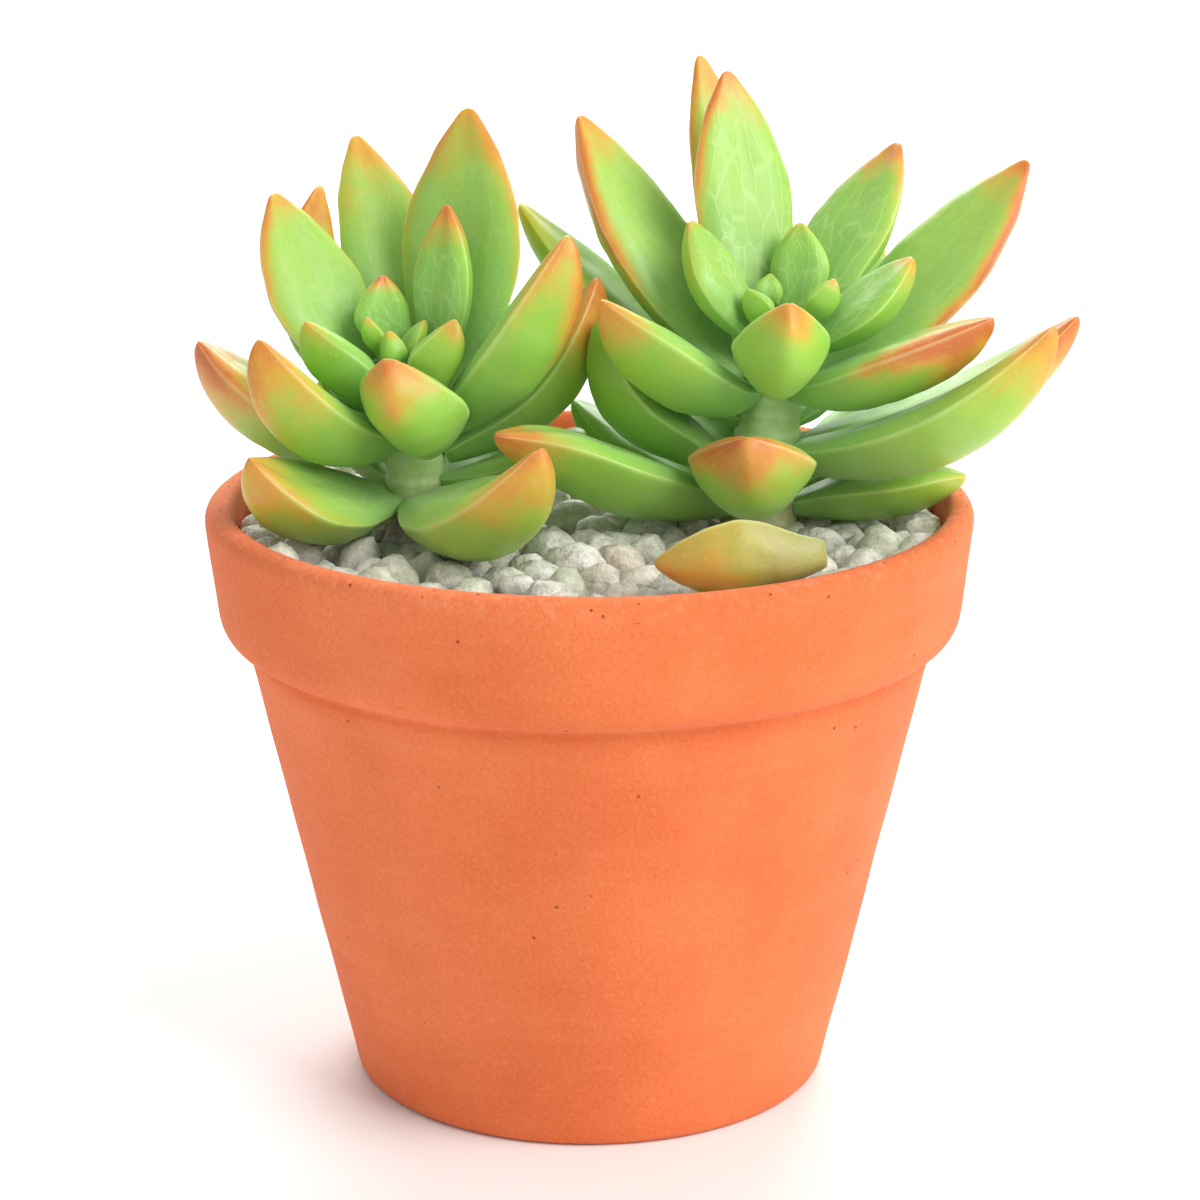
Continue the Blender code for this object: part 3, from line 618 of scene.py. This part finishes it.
def leaf_surface(node, seed, along_count, around_count):
    """A leaf's grid of points, with each point's place along and turn round the leaf."""
    spine, half, thick = leaf_stations(node)
    share = np.linspace(0, 1, along_count)
    place = -ROOT_REACH + (1 + ROOT_REACH) * (1 - (1 - share) ** 1.5)
    place[-1] = 1 - 2e-4
    turn = np.linspace(0, 2 * math.pi, around_count, endpoint=False)
    middle = through(STATION_PLACES, spine, place)
    side = unit(through(STATION_PLACES[:-1], unit(half), np.minimum(place, 0.94)))
    up = unit(through(STATION_PLACES[:-1], unit(thick), np.minimum(place, 0.94)))
    wide = power_curve(np.linalg.norm(half, axis=1), place)
    deep = power_curve(np.linalg.norm(thick, axis=1), place)
    across, height = section(turn)
    ridge = 0.02 * np.exp(-(across / 0.30) ** 2) * (np.sin(turn) < 0)
    points = (middle[:, None] + side[:, None] * (wide[:, None] * across)[..., None]
              + up[:, None] * (deep[:, None] * (height - ridge))[..., None])
    swell = (0.020 * lumps(points, 9 * MM, seed) + 0.011 * lumps(points, 4 * MM, seed + 1)) * wide[:, None]
    outward = unit(points - middle[:, None])
    points += outward * swell[..., None]
    return points, np.broadcast_to(place[:, None], swell.shape), np.broadcast_to(turn, swell.shape)


# %% [markdown]
# ## Leaves, 3: where the sun has coloured them
#
# This plant is green in the shade and turns yellow, orange and rose where the sun strikes: at
# the tips, down the edges, and over the whole face of a leaf that lies open. Each leaf has its
# own history, so each has a row of numbers: how far the blush reaches down from the tip, how
# strong it is there, how strong it is along the edges, which edge has more of it (-1 to 1), how
# rosy it is (0 is amber, 1 is rose), how much painted shade darkens a leaf that lies in shade
# towards a deep green, and on some leaves how strong a stripe runs down the keel. They were
# judged leaf by leaf. Leaves with no row are inner or shaded ones, with the default.

# %% The sun's record on each leaf
Blush = namedtuple("Blush", "reach tip edge side rose shade keel", defaults=(0.0,))
DEFAULT_BLUSH = Blush(0.2, 0.5, 0.25, 0.0, 0.3, 0.1)
BLUSHES = {
    "left_leaf_01": Blush(0.45, 0.9, 0.75, 0.0, 0.7, 0.15, 0.7),
    "left_leaf_02": Blush(0.4, 0.8, 0.5, 0.0, 0.2, 0.05, 0.45),
    "left_leaf_03": Blush(0.26, 0.7, 0.85, 0.3, 0.4, 0.0),
    "left_leaf_04": Blush(0.42, 0.9, 0.6, 0.0, 0.35, 0.0),
    "left_leaf_05": Blush(0.36, 0.7, 0.6, -0.8, 0.2, 0.0),
    "left_leaf_06": Blush(0.28, 0.75, 0.95, 0.0, 0.2, 0.0),
    "left_leaf_07": Blush(0.32, 0.9, 0.45, 0.6, 0.35, 0.0),
    "left_leaf_08": Blush(0.22, 0.95, 0.3, 0.0, 0.8, 0.0),
    "left_leaf_09": Blush(0.22, 0.55, 0.3, 0.0, 0.0, 0.1),
    "left_leaf_11": Blush(0.25, 0.75, 0.25, 0.6, 0.4, 0.1),
    "left_leaf_12": Blush(0.34, 0.85, 0.2, 0.0, 0.35, 0.0, 0.25),
    "left_leaf_13": Blush(0.3, 0.55, 0.3, -0.9, 0.5, 0.0, 0.75),
    "left_leaf_14": Blush(0.45, 0.9, 0.6, 0.5, 0.5, 0.2, 0.4),
    "left_leaf_15": Blush(0.42, 0.8, 0.7, -0.6, 0.3, 0.0),
    "left_leaf_16": Blush(0.33, 0.85, 0.5, 0.2, 0.3, 0.0),
    "left_leaf_17": Blush(0.2, 0.2, 0.1, 0.0, 0.0, 0.1),
    "right_leaf_01": Blush(0.24, 0.9, 1.0, 0.8, 0.3, 0.0),
    "right_leaf_02": Blush(0.3, 0.75, 0.55, 0.6, 0.25, 0.05),
    "right_leaf_03": Blush(0.22, 0.85, 0.7, 0.9, 0.6, 0.0),
    "right_leaf_04": Blush(0.14, 0.45, 0.45, 0.0, 0.2, 0.0),
    "right_leaf_05": Blush(0.16, 0.5, 0.3, 0.0, 0.3, 0.0),
    "right_leaf_06": Blush(0.25, 0.95, 0.8, 0.3, 0.5, 0.0),
    "right_leaf_07": Blush(0.2, 1.0, 1.1, -0.9, 0.7, 0.0),
    "right_leaf_08": Blush(0.2, 0.75, 0.4, 0.5, 0.2, 0.1),
    "right_leaf_09": Blush(0.45, 1.0, 0.75, -0.8, 0.65, 0.0, 0.2),
    "right_leaf_10": Blush(0.3, 0.8, 0.55, 0.5, 0.15, 0.1, 0.3),
    "right_leaf_11": Blush(0.35, 0.95, 0.7, 0.0, 0.7, 0.2),
    "right_leaf_12": Blush(0.34, 0.75, 0.75, -0.6, 0.25, 0.0),
    "right_leaf_13": Blush(0.26, 0.75, 0.1, 0.0, 0.3, 0.0),
    "right_leaf_14": Blush(0.42, 0.7, 0.8, -0.3, 0.7, 0.0),
    "right_leaf_15": Blush(0.2, 0.55, 0.2, 0.0, 0.0, 0.1),
    "right_leaf_16": Blush(0.24, 0.9, 0.6, -0.6, 0.9, 0.05),
    "right_leaf_17": Blush(0.18, 0.2, 0.2, 0.0, 0.0, 0.1),
    "right_leaf_18": Blush(0.1, 0.1, 0.1, 0.0, 0.0, 0.3),
    "right_leaf_19": Blush(0.1, 0.1, 0.1, 0.0, 0.0, 0.3),
    "right_leaf_21": Blush(0.2, 0.4, 0.3, 0.0, 0.2, 0.15),
    "loose_leaf": Blush(0.8, 0.55, 0.0, 0.0, 0.5, 0.15, 0.4),
}
print(len(BLUSHES), "leaves have a row of their own")

# %% From a leaf's row to a number at each of its points


def smooth_step(value):
    """0 below 0 and 1 above 1, with an even start and end: 3 v^2 - 2 v^3."""
    value = np.clip(value, 0, 1)
    return value * value * (3 - 2 * value)


def blush_field(place, turn, marks, points, seed):
    """How strongly each point is coloured: the tip fading down, the edges, and the keel.

    A band at an edge or at the keel has the strength exp(-(distance / width)^1.5).
    """
    across = np.cos(turn)
    ragged = 0.13 * lumps(points, 7 * MM, seed) + 0.07 * lumps(points, 2.6 * MM, seed + 2)
    reach = 1.25 * marks.reach
    down = np.clip((place - 1 + reach) / reach + ragged, 0, 1)
    tip = marks.tip * down ** 1.3
    band = np.exp(-((1 - np.abs(across)) / (0.07 + 0.17 * np.clip(place, 0, 1))) ** 1.5)
    favour = 1 + marks.side * np.sign(-across)
    edge = 0.62 * marks.edge * favour * band * smooth_step((place - 0.10) / 0.60 + ragged)
    ridge = np.exp(-(np.abs(across) / 0.42) ** 1.5) * (np.sin(turn) < 0)
    keel = marks.keel * ridge * smooth_step((place - 0.30) / 0.40 + ragged)
    return np.clip(tip + (edge + keel) * (1 - 0.5 * tip), 0, 1.25)


# %% [markdown]
# ## Leaves, 4: the skin
#
# The skin is thin and waxy over watery flesh, so light goes in, spreads and comes out green.
# That is what subsurface scattering does. Colour is built in layers, mostly as the plant builds it:
# flesh green, paler and bluer with wax near the stem, painted shade that darkens a leaf lying in
# shade, a net of pale veins under the young leaves' faces, then amber, orange and rose where the
# blush field says, a painted highlight along the edges, and last the small brown specks and pale
# grains that every real leaf has.

# %% The leaf finish
LEAF_GREEN = (0.260, 0.560, 0.055)
LEAF_SHADED = (0.110, 0.330, 0.028)
LEAF_WAX = (0.300, 0.550, 0.195)
LEAF_LIME = (0.400, 0.590, 0.080)
LEAF_PALE = (0.720, 0.860, 0.440)


def leaf_finish(name, flesh, deep, wax, lime):
    """Leaf skin in layers: flesh, wax, painted shade, veins, blush by its field, a painted highlight along
    the edges, specks and grains.
    """
    material, tree, shader, place = new_finish(name)
    along, rise = field(tree, "along"), field(tree, "upper")
    blush, rose, shade = field(tree, "blush"), field(tree, "rose"), field(tree, "shade")
    clouds = noise(tree, place, 7 * MM, 4, 0.55)
    grain = noise(tree, place, 0.8 * MM, 3, 0.6)

    tone = math_node(tree, "MULTIPLY_ADD", clouds, 0.7, field(tree, "tone"))
    colour = mix(tree, ramp(tree, tone, (0.35, 0.0), (1.05, 1.0)), flesh, lime)
    near_stem = ramp(tree, math_node(tree, "ADD", along, times(tree, clouds, 0.35)),
                     (0.20, 1.0), (0.85, 0.0))
    colour = mix(tree, times(tree, near_stem, 0.75), colour, wax)
    colour = mix(tree, times(tree, rise, 0.35), colour, wax)
    # Painted shade: a leaf that lies in shade is darkened towards a deep green by its shade number.
    colour = mix(tree, shade, colour, deep)

    flat = tree.nodes.new("ShaderNodeCombineXYZ")
    wire(tree, flat, {"X": times(tree, along, 2.6),
                      "Y": times(tree, field(tree, "across"), 2.2),
                      "Z": math_node(tree, "MULTIPLY_ADD", clouds, 1.1, field(tree, "number"))})
    net = cells(tree, flat.outputs[0], 0.62, "DISTANCE_TO_EDGE")
    vein = ramp(tree, net.outputs["Distance"], (0.0, 1.0), (0.09, 0.0))
    vein = times(tree, vein, field(tree, "veins"))
    colour = mix(tree, times(tree, vein, 0.28), colour, LEAF_PALE)

    wavering = math_node(tree, "ADD", blush, math_node(tree, "MULTIPLY_ADD", clouds, 0.30, -0.15))
    wavering = math_node(tree, "ADD", wavering, math_node(tree, "MULTIPLY_ADD", grain, 0.24, -0.12))
    streaks = noise(tree, flat.outputs[0], 1.0, 3, 0.6, (1.2, 9.0, 1.0))
    wavering = math_node(tree, "ADD", wavering, math_node(tree, "MULTIPLY_ADD", streaks, 0.40, -0.20))
    amber = ramp(tree, wavering, (0.15, (0.400, 0.560, 0.045)), (0.42, (0.560, 0.460, 0.042)),
                 (0.70, (0.640, 0.365, 0.038)), (1.00, (0.620, 0.225, 0.032)))
    rosy = ramp(tree, wavering, (0.15, (0.420, 0.530, 0.055)), (0.42, (0.610, 0.400, 0.070)),
                (0.70, (0.670, 0.265, 0.055)), (1.00, (0.560, 0.130, 0.035)))
    sun = mix(tree, rose, amber, rosy)
    colour = mix(tree, ramp(tree, wavering, (0.05, 0.0), (0.60, 1.0)), colour, sun)
    # A painted highlight: a pale line along each leaf's rounded edge, where light would glint.
    rim = ramp(tree, math_node(tree, "ABSOLUTE", field(tree, "across")), (0.972, 0.0), (0.995, 1.0))
    colour = mix(tree, times(tree, rim, 0.24), colour, LEAF_PALE)

    spot, chosen = round_spots(tree, place, 1.5 * MM, 0.05, 0.12)
    speck = times(tree, spot, math_node(tree, "GREATER_THAN", chosen[1], 0.93))
    colour = mix(tree, times(tree, speck, 0.55), colour, (0.34, 0.15, 0.035))
    pale = ramp(tree, noise(tree, place, 0.40 * MM, 2, 0.5), (0.60, 0.0), (0.76, 0.15))
    colour = mix(tree, pale, colour, (0.80, 0.86, 0.52))
    wire(tree, shader, {"Base Color": colour, "Roughness": ramp(tree, clouds, (0.3, 0.36), (0.7, 0.50)),
                        "Specular IOR Level": 0.45, "Coat Weight": 0.10, "Coat Roughness": 0.32,
                        "Sheen Weight": 0.04, "Sheen Roughness": 0.45, "Subsurface Weight": 0.45,
                        "Subsurface Radius": (1.0, 1.0, 0.35), "Subsurface Scale": 2.2 * MM})
    bumps(tree, shader, (clouds, 0.22 * MM), (vein, -0.04 * MM), (grain, 0.035 * MM))
    return material


leaf_skin = leaf_finish("leaf_skin", LEAF_GREEN, LEAF_SHADED, LEAF_WAX, LEAF_LIME)
shed_skin = leaf_finish("shed_leaf_skin", (0.42, 0.27, 0.060), (0.15, 0.20, 0.030),
                        (0.34, 0.38, 0.120), (0.52, 0.36, 0.100))
print("leaf finish with", len(leaf_skin.node_tree.nodes), "nodes")

# %% [markdown]
# ## Leaves, 5: growing them all
#
# Every leaf solid gets its fine surface by the same steps. The numbers that the skin reads are
# worked out for the whole grid at once and stored on the mesh, so the blush follows the leaf
# wherever it turns. Small leaves get a coarser grid, because their detail is smaller too.

# %% Every leaf
YOUNG = {"left_leaf_07", "left_leaf_08", "left_leaf_10", "left_leaf_11", "left_leaf_23", "left_leaf_24",
         "right_leaf_03", "right_leaf_04", "right_leaf_05", "right_leaf_06", "right_leaf_08",
         "right_leaf_17", "right_leaf_26", "right_leaf_27"}
SMALL_LEAF = 14 * MM
FINE_GRID, SMALL_GRID = (46, 48), (28, 32)      # points along and around a leaf
leaf_nodes = sorted(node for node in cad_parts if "leaf" in node)
leaf_clouds = []        # every leaf's points, for the stones to keep clear of


def grow_leaf(node, seed):
    """One leaf: its surface, the numbers its skin reads, and its closed root and tip."""
    low, high = (np.array(corner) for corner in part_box(node))
    rows, columns = FINE_GRID if np.linalg.norm(high - low) > SMALL_LEAF else SMALL_GRID
    points, place, turn = leaf_surface(node, seed, rows, columns)
    marks = BLUSHES.get(node, DEFAULT_BLUSH)
    blush = blush_field(place, turn, marks, points, seed)
    upper = np.clip(np.sin(turn) * 1.5, 0, 1) * (1 - 0.5 * np.clip(place, 0, 1))
    ends = np.vstack((points[0].mean(axis=0), points[-1].mean(axis=0)))
    leaf_clouds.append(points.reshape(-1, 3))

    def with_ends(values, root, tip):
        """A field over the grid, then its values at the two points that close the ends."""
        return np.concatenate((np.broadcast_to(values, place.shape).ravel(), [root, tip]))

    random = np.random.default_rng(seed)
    tone, number = random.uniform(0.0, 0.5), random.uniform(0, 40)
    fields = [("along", with_ends(np.clip(place, 0, 1), 0, 1)),
              ("across", with_ends(np.cos(turn), 0, 0)),
              ("tone", with_ends(tone, tone, tone)), ("number", with_ends(number, number, number)),
              ("upper", with_ends(upper, 0, 0)),
              ("blush", with_ends(blush, 0, blush[-1].mean())),
              ("rose", with_ends(marks.rose, marks.rose, marks.rose)),
              ("shade", with_ends(marks.shade, 0, 0)),
              ("veins", with_ends((1.0 if node in YOUNG else 0.45) * upper * (place < 0.9), 0, 0))]
    shed = node == "loose_leaf"
    name = "shed_leaf" if shed else node.replace("_leaf_", "_grown_leaf_")
    return make_piece(name, np.vstack((points.reshape(-1, 3), ends)), grid_faces(rows, columns),
                      end_fans(rows, columns), shed_skin if shed else leaf_skin, [node],
                      fields)


grown = [grow_leaf(node, 100 + 7 * k) for k, node in enumerate(leaf_nodes)]
print(len(grown), "leaves grown")

# %% [markdown]
# ## Stems
#
# The stems are short and green, thickened where each leaf joins. Their solids are level rings,
# so a ring's middle and radius come straight from its points. The fine stem swells a little
# between the rings, and has level scars where lower leaves have been shed.

# %% The stem's finish


def stem_finish():
    """Stem skin: a paler green than the leaves', with waxy clouds, woody brown at the foot."""
    material, tree, shader, place = new_finish("stem_skin")
    clouds = noise(tree, place, 3 * MM, 4, 0.6)
    height = field(tree, "height")
    colour = mix(tree, ramp(tree, clouds, (0.35, 0.0), (0.7, 1.0)), (0.46, 0.68, 0.24), (0.66, 0.80, 0.46))
    woody = ramp(tree, math_node(tree, "ADD", height, math_node(tree, "MULTIPLY_ADD", clouds, 0.4, -0.2)),
                 (0.05, 1.0), (0.35, 0.0))
    colour = mix(tree, times(tree, woody, 0.7), colour, (0.36, 0.27, 0.13))
    wire(tree, shader, {"Base Color": colour, "Roughness": 0.5, "Subsurface Weight": 0.25,
                        "Subsurface Radius": (1.0, 1.0, 0.4), "Subsurface Scale": 1.2 * MM})
    bumps(tree, shader, (clouds, 0.25 * MM))
    return material


stem_skin = stem_finish()

# %% The stems
STEM_ROWS, STEM_COLUMNS = 110, 36
SCAR_PITCH = 3.1 * MM


def grow_stem(node, seed):
    """A stem as level rings from its foot in the mix to its growing tip.

    The radius is the solid's, times 1 plus a swelling and less a scar, once every SCAR_PITCH.
    """
    points, _ = solid_points(node)
    levels = np.unique(np.round(points[:, 2], 5))
    rings = [points[np.abs(points[:, 2] - level) < 1e-4] for level in levels]
    middles = np.array([ring.mean(axis=0) for ring in rings])
    radii = np.array([np.linalg.norm(ring - m, axis=1).mean() for ring, m in zip(rings, middles)])
    height = np.linspace(levels[0], levels[-1] - 0.05 * MM, STEM_ROWS)
    radius = np.interp(height, levels, radii)
    beat = (height - levels[0]) / SCAR_PITCH % 1
    swell = 1.02 + 0.06 * np.exp(-((beat - 0.5) / 0.16) ** 2) - 0.04 * np.exp(-((beat - 0.75) / 0.08) ** 2)
    centre = np.column_stack([np.interp(height, levels, middles[:, k]) for k in (0, 1)])
    angle = np.linspace(0, 2 * math.pi, STEM_COLUMNS, endpoint=False)
    reach = (radius * swell)[:, None]
    grid = np.stack((centre[:, :1] + reach * np.cos(angle), centre[:, 1:] + reach * np.sin(angle),
                     np.broadcast_to(height[:, None], (STEM_ROWS, STEM_COLUMNS))), -1)
    lift = 0.12 * MM * lumps(grid, 4 * MM, seed)
    grid[..., 0] += lift * np.cos(angle)
    grid[..., 1] += lift * np.sin(angle)
    share = np.clip((height - GRAVEL_TOP) / (levels[-1] - GRAVEL_TOP), 0, 1)
    ends = np.array([grid[0].mean(axis=0), [*middles[-1][:2], levels[-1]]])
    shares = np.append(np.repeat(share, STEM_COLUMNS), (0, 1))
    return make_piece(node.replace("_stem", "_grown_stem"), np.vstack((grid.reshape(-1, 3), ends)),
                      grid_faces(STEM_ROWS, STEM_COLUMNS), end_fans(STEM_ROWS, STEM_COLUMNS),
                      stem_skin, [node], [("height", shares)])


for stem_seed, stem_node in enumerate(("left_stem", "right_stem")):
    stem = grow_stem(stem_node, 500 + stem_seed)
    print(stem.name, "has", len(stem.data.vertices), "points")

# %% [markdown]
# ## Gravel
#
# The mix is topped with pale pumice stones of 5 to 8 mm, so that water runs off and the stems
# stay dry. Each stone is its own lump: a ball of a few dozen faces, with flats worn on it. They
# are laid in two loose layers on a crooked lattice, with a ring of smaller stones against the
# wall. A stone that would press into a leaf settles lower, as it would when the pot is tapped.

# %% A ball from the six faces of a cube
STONE_CUTS = 3
STONE_LAYERS = ((-5.2 * MM, 11), (-0.9 * MM, 12))    # height of the middles above the gravel's top
LATTICE_PITCH = 6.5 * MM
LATTICE_WANDER = 1.1 * MM
WALL_STONES = 58


def ball(cuts):
    """Points and quads of a ball: a cube's faces cut into a grid and pushed out to radius 1.

    Each grid line is bent by tan, which makes the squares on the ball nearly equal.
    """
    line = np.tan(np.linspace(-math.pi / 4, math.pi / 4, cuts + 1))
    u, v = (grid.ravel() for grid in np.meshgrid(line, line, indexing="ij"))
    one = np.ones_like(u)
    sheets = np.concatenate([np.stack(c, -1) for c in (
        (one, u, v), (-one, v, u), (v, one, u), (u, -one, v), (u, v, one), (v, u, -one))])
    sheets = unit(sheets)
    corner = np.arange(cuts)[:, None] * (cuts + 1) + np.arange(cuts)[None, :]
    quad = np.stack((corner, corner + cuts + 1, corner + cuts + 2, corner + 1), -1).reshape(-1, 4)
    quads = np.concatenate([quad + k * (cuts + 1) ** 2 for k in range(6)])
    points, merged = np.unique(np.round(sheets, 6), axis=0, return_inverse=True)
    return points, merged.ravel()[quads]


ball_points, ball_quads = ball(STONE_CUTS)
print(f"a stone has {len(ball_points)} points and {len(ball_quads)} faces")

# %% Where the stones lie


def lattice(height, seed):
    """Stone middles on a crooked six-sided lattice inside the pot, and their radii."""
    random = np.random.default_rng(seed)
    steps = np.arange(-12, 13)
    i, j = (grid.ravel() for grid in np.meshgrid(steps, steps, indexing="ij"))
    spots = np.column_stack((i + 0.5 * (j % 2), j * math.sqrt(3) / 2)) * LATTICE_PITCH
    spots += random.uniform(-1, 1, spots.shape) * LATTICE_WANDER + random.uniform(-2, 2, 2) * MM
    radii = random.uniform(2.9, 4.1, len(spots)) * MM
    lift = random.uniform(-1.5, 0.6, len(spots)) * MM
    keep = np.linalg.norm(spots, axis=1) < bed_radius(GRAVEL_TOP + height) - radii * 0.95
    middles = np.column_stack((spots + AXIS, np.full(len(spots), GRAVEL_TOP + height) + lift))
    return middles[keep], radii[keep]


def settle_stones(middles, radii, clouds):
    """Lower each stone, taken as a ball, until every leaf point over it is outside the ball."""
    low = clouds[clouds[:, 2] < GRAVEL_TOP + 9 * MM]
    for middle, radius in zip(middles, radii):
        away = np.linalg.norm(low[:, :2] - middle[:2], axis=1)
        over = away < radius
        if over.any():
            arch = np.sqrt(radius ** 2 - away[over] ** 2)
            middle[2] = min(middle[2], (low[over, 2] - arch).min() - 0.1 * MM)
    return middles


def wall_ring(height, seed, count=WALL_STONES):
    """Stones that lie against the wall, close together, as they roll there when poured."""
    random = np.random.default_rng(seed)
    radii = random.uniform(2.3, 3.3, count) * MM
    angle = (np.arange(count) + random.uniform(-0.2, 0.2, count)) * 2 * math.pi / count
    away = bed_radius(GRAVEL_TOP) - radii * random.uniform(0.92, 1.05, count)
    level = GRAVEL_TOP + height + random.uniform(-0.8, 0.8, count) * MM
    return np.column_stack((AXIS[0] + away * np.cos(angle), AXIS[1] + away * np.sin(angle), level)), radii


layers = [lattice(height, seed) for height, seed in STONE_LAYERS] + [wall_ring(-0.2 * MM, 13)]
stone_radii = np.concatenate([radii for _, radii in layers])
stone_middles = settle_stones(np.vstack([middles for middles, _ in layers]), stone_radii,
                              np.concatenate(leaf_clouds))
print(len(stone_radii), "stones, the highest at", round(float(stone_middles[:, 2].max() - RIM_TOP) / MM, 1),
      "mm from the rim")

# %% [markdown]
# Pumice is a pale, glassy froth: white to cream, here and there greenish or pink, with a
# sugary grain of tiny holes, which are darkened with painted shade. Each stone carries one
# random number, which picks its tint.

# %% The stones' finish


def stone_finish():
    """Pumice: a tint from each stone's own number, darker grey-green clouds at random, a sugary grain, and
    holes darkened with painted shade.
    """
    material, tree, shader, place = new_finish("gravel")
    own = field(tree, "stone")
    tint = ramp(tree, own, (0.0, (0.72, 0.70, 0.63)), (0.22, (0.90, 0.88, 0.83)), (0.42, (0.64, 0.67, 0.53)),
                (0.60, (0.94, 0.93, 0.89)), (0.80, (0.80, 0.70, 0.61)), (1.0, (0.84, 0.83, 0.77)))
    clouds = noise(tree, place, 2.2 * MM, 4, 0.6)
    colour = mix(tree, ramp(tree, clouds, (0.32, 0.75), (0.60, 0.0)), tint, (0.36, 0.35, 0.27))
    grain = noise(tree, place, 0.45 * MM, 3, 0.6)
    colour = mix(tree, ramp(tree, grain, (0.55, 0.0), (0.72, 0.6)), colour, (0.95, 0.94, 0.91))
    hole, _ = round_spots(tree, place, 0.8 * MM, 0.10, 0.28)
    # Painted shade: the tiny holes are darkened as if shade lay in them.
    colour = mix(tree, times(tree, hole, 0.35), colour, (0.34, 0.29, 0.22))
    wire(tree, shader, {"Base Color": colour, "Roughness": 0.72, "Subsurface Weight": 0.35,
                        "Subsurface Radius": (1.0, 0.9, 0.8), "Subsurface Scale": 1.3 * MM})
    bumps(tree, shader, (clouds, 0.8 * MM), (grain, 0.22 * MM))
    return material


# %% [markdown]
# Pumice breaks rather than rolls, so a stone has flats that meet in worn corners. A bumpy ball
# would look like a pea, and a plain block like sugar. Here each ball is cut down by eleven
# random planes, softly enough that their edges stay round.

# %% Laying the stones
FLATS, FLAT_POWER = 11, 9
KNOBS = 12      # patterns of bumps, shared out among the stones


def lay_stones(middles, radii, seed):
    """All stones in one mesh: each a ball with flats worn on it, squeezed, turned and moved.

    A flat lies across direction n at distance d. Together they bound the stone at radius
    (sum over the flats of (p . n / d)^9)^(-1/9): flat faces that meet in rounded corners.
    """
    random = np.random.default_rng(seed)
    count = len(radii)
    squeeze = random.uniform(0.80, 1.12, (count, 1, 3))
    ways = unit(random.normal(size=(count, FLATS, 3)))
    near = random.uniform(0.74, 1.0, (count, 1, FLATS))
    facing = np.maximum(np.einsum("pj,skj->spk", ball_points, ways) / near, 0.05)
    flatted = np.minimum((facing ** FLAT_POWER).sum(axis=-1) ** (-1 / FLAT_POWER), 1.12)
    knobs = np.stack([lumps(ball_points, 0.9, seed + 51 + k, 5) for k in range(KNOBS)])
    size = radii[:, None] * flatted * (1 + 0.07 * knobs[random.integers(0, KNOBS, count)])
    turns = np.linalg.qr(random.normal(size=(count, 3, 3)))[0]
    turns *= np.sign(np.linalg.det(turns))[:, None, None]
    shapes = np.einsum("sij,spj->spi", turns, ball_points[None] * squeeze * size[..., None])
    points = shapes + middles[:, None, :]
    quads = ball_quads[None] + np.arange(count)[:, None, None] * len(ball_points)
    own = np.repeat(random.uniform(0, 1, count), len(ball_points))
    return make_piece("gravel_stones", points.reshape(-1, 3), quads.reshape(-1, 4), (), stone_finish(),
                      ["gravel"], [("stone", own)])


lay_stones(stone_middles, stone_radii, 77)
print("gravel laid:", len(stone_radii) * len(ball_quads), "faces")

# %% [markdown]
# ## Floor and light
#
# A pale floor and big soft lights suit a small pale-green plant: they wrap round the leaves and
# leave only a soft shadow under the pot. The brightest light stands high on the right, a
# weaker one fills from the left, and one behind picks out the leaves' edges. The last lights
# only the floor far behind, so that it stays white, and the pale surroundings do the rest.

# %% The stage


def add_floor(radius=4.0, corners=96):
    """A round pale floor, far wider than the camera sees."""
    angle = np.linspace(0, 2 * math.pi, corners, endpoint=False)
    ring = np.column_stack((radius * np.cos(angle), radius * np.sin(angle), np.zeros(corners)))
    mesh = bpy.data.meshes.new("floor")
    mesh.from_pydata(ring.tolist(), [], [tuple(range(corners))])
    material, tree, shader, _ = new_finish("pale_floor")
    wire(tree, shader, {"Base Color": (0.90, 0.90, 0.90, 1.0), "Roughness": 0.9})
    mesh.materials.append(material)
    floor = bpy.data.objects.new("floor", mesh)
    bpy.context.scene.collection.objects.link(floor)


def add_light(name, place, size, power, colour, aim=(0.0, 0.0, 0.08)):
    """A square soft light, turned to face a point, which is the plant unless told otherwise.

    A light shines down its own -Z. Tilting it by the angle between its way and the upright,
    and then turning it to its compass side, points that axis at the aim.
    """
    lamp = bpy.data.lights.new(name, "AREA")
    lamp.energy = power
    lamp.size = size
    lamp.color = colour
    item = bpy.data.objects.new(name, lamp)
    bpy.context.scene.collection.objects.link(item)
    item.location = place
    way = unit(np.array(place) - np.array(aim))
    item.rotation_euler = (math.acos(way[2]), 0, math.atan2(way[1], way[0]) + math.pi / 2)


add_floor()
add_light("key", (0.85, -0.55, 0.85), 0.9, 16, (1.0, 0.98, 0.95))
add_light("fill", (-0.9, -0.7, 0.5), 0.9, 0.7, (0.97, 0.99, 1.0))
add_light("back", (0.1, 0.9, 0.9), 0.8, 6, (1.0, 1.0, 1.0))
add_light("backdrop", (0.0, 2.6, 1.5), 2.2, 70, (1.0, 1.0, 1.0), (0.0, 1.9, 0.0))
world = bpy.data.worlds.new("studio")
world.use_nodes = True
world.node_tree.nodes["Background"].inputs[0].default_value = (1.0, 1.0, 1.0, 1.0)
world.node_tree.nodes["Background"].inputs[1].default_value = 0.55
bpy.context.scene.world = world
bpy.context.scene.view_settings.view_transform = "Standard"
print(len(bpy.data.lights), "lights and a pale floor")
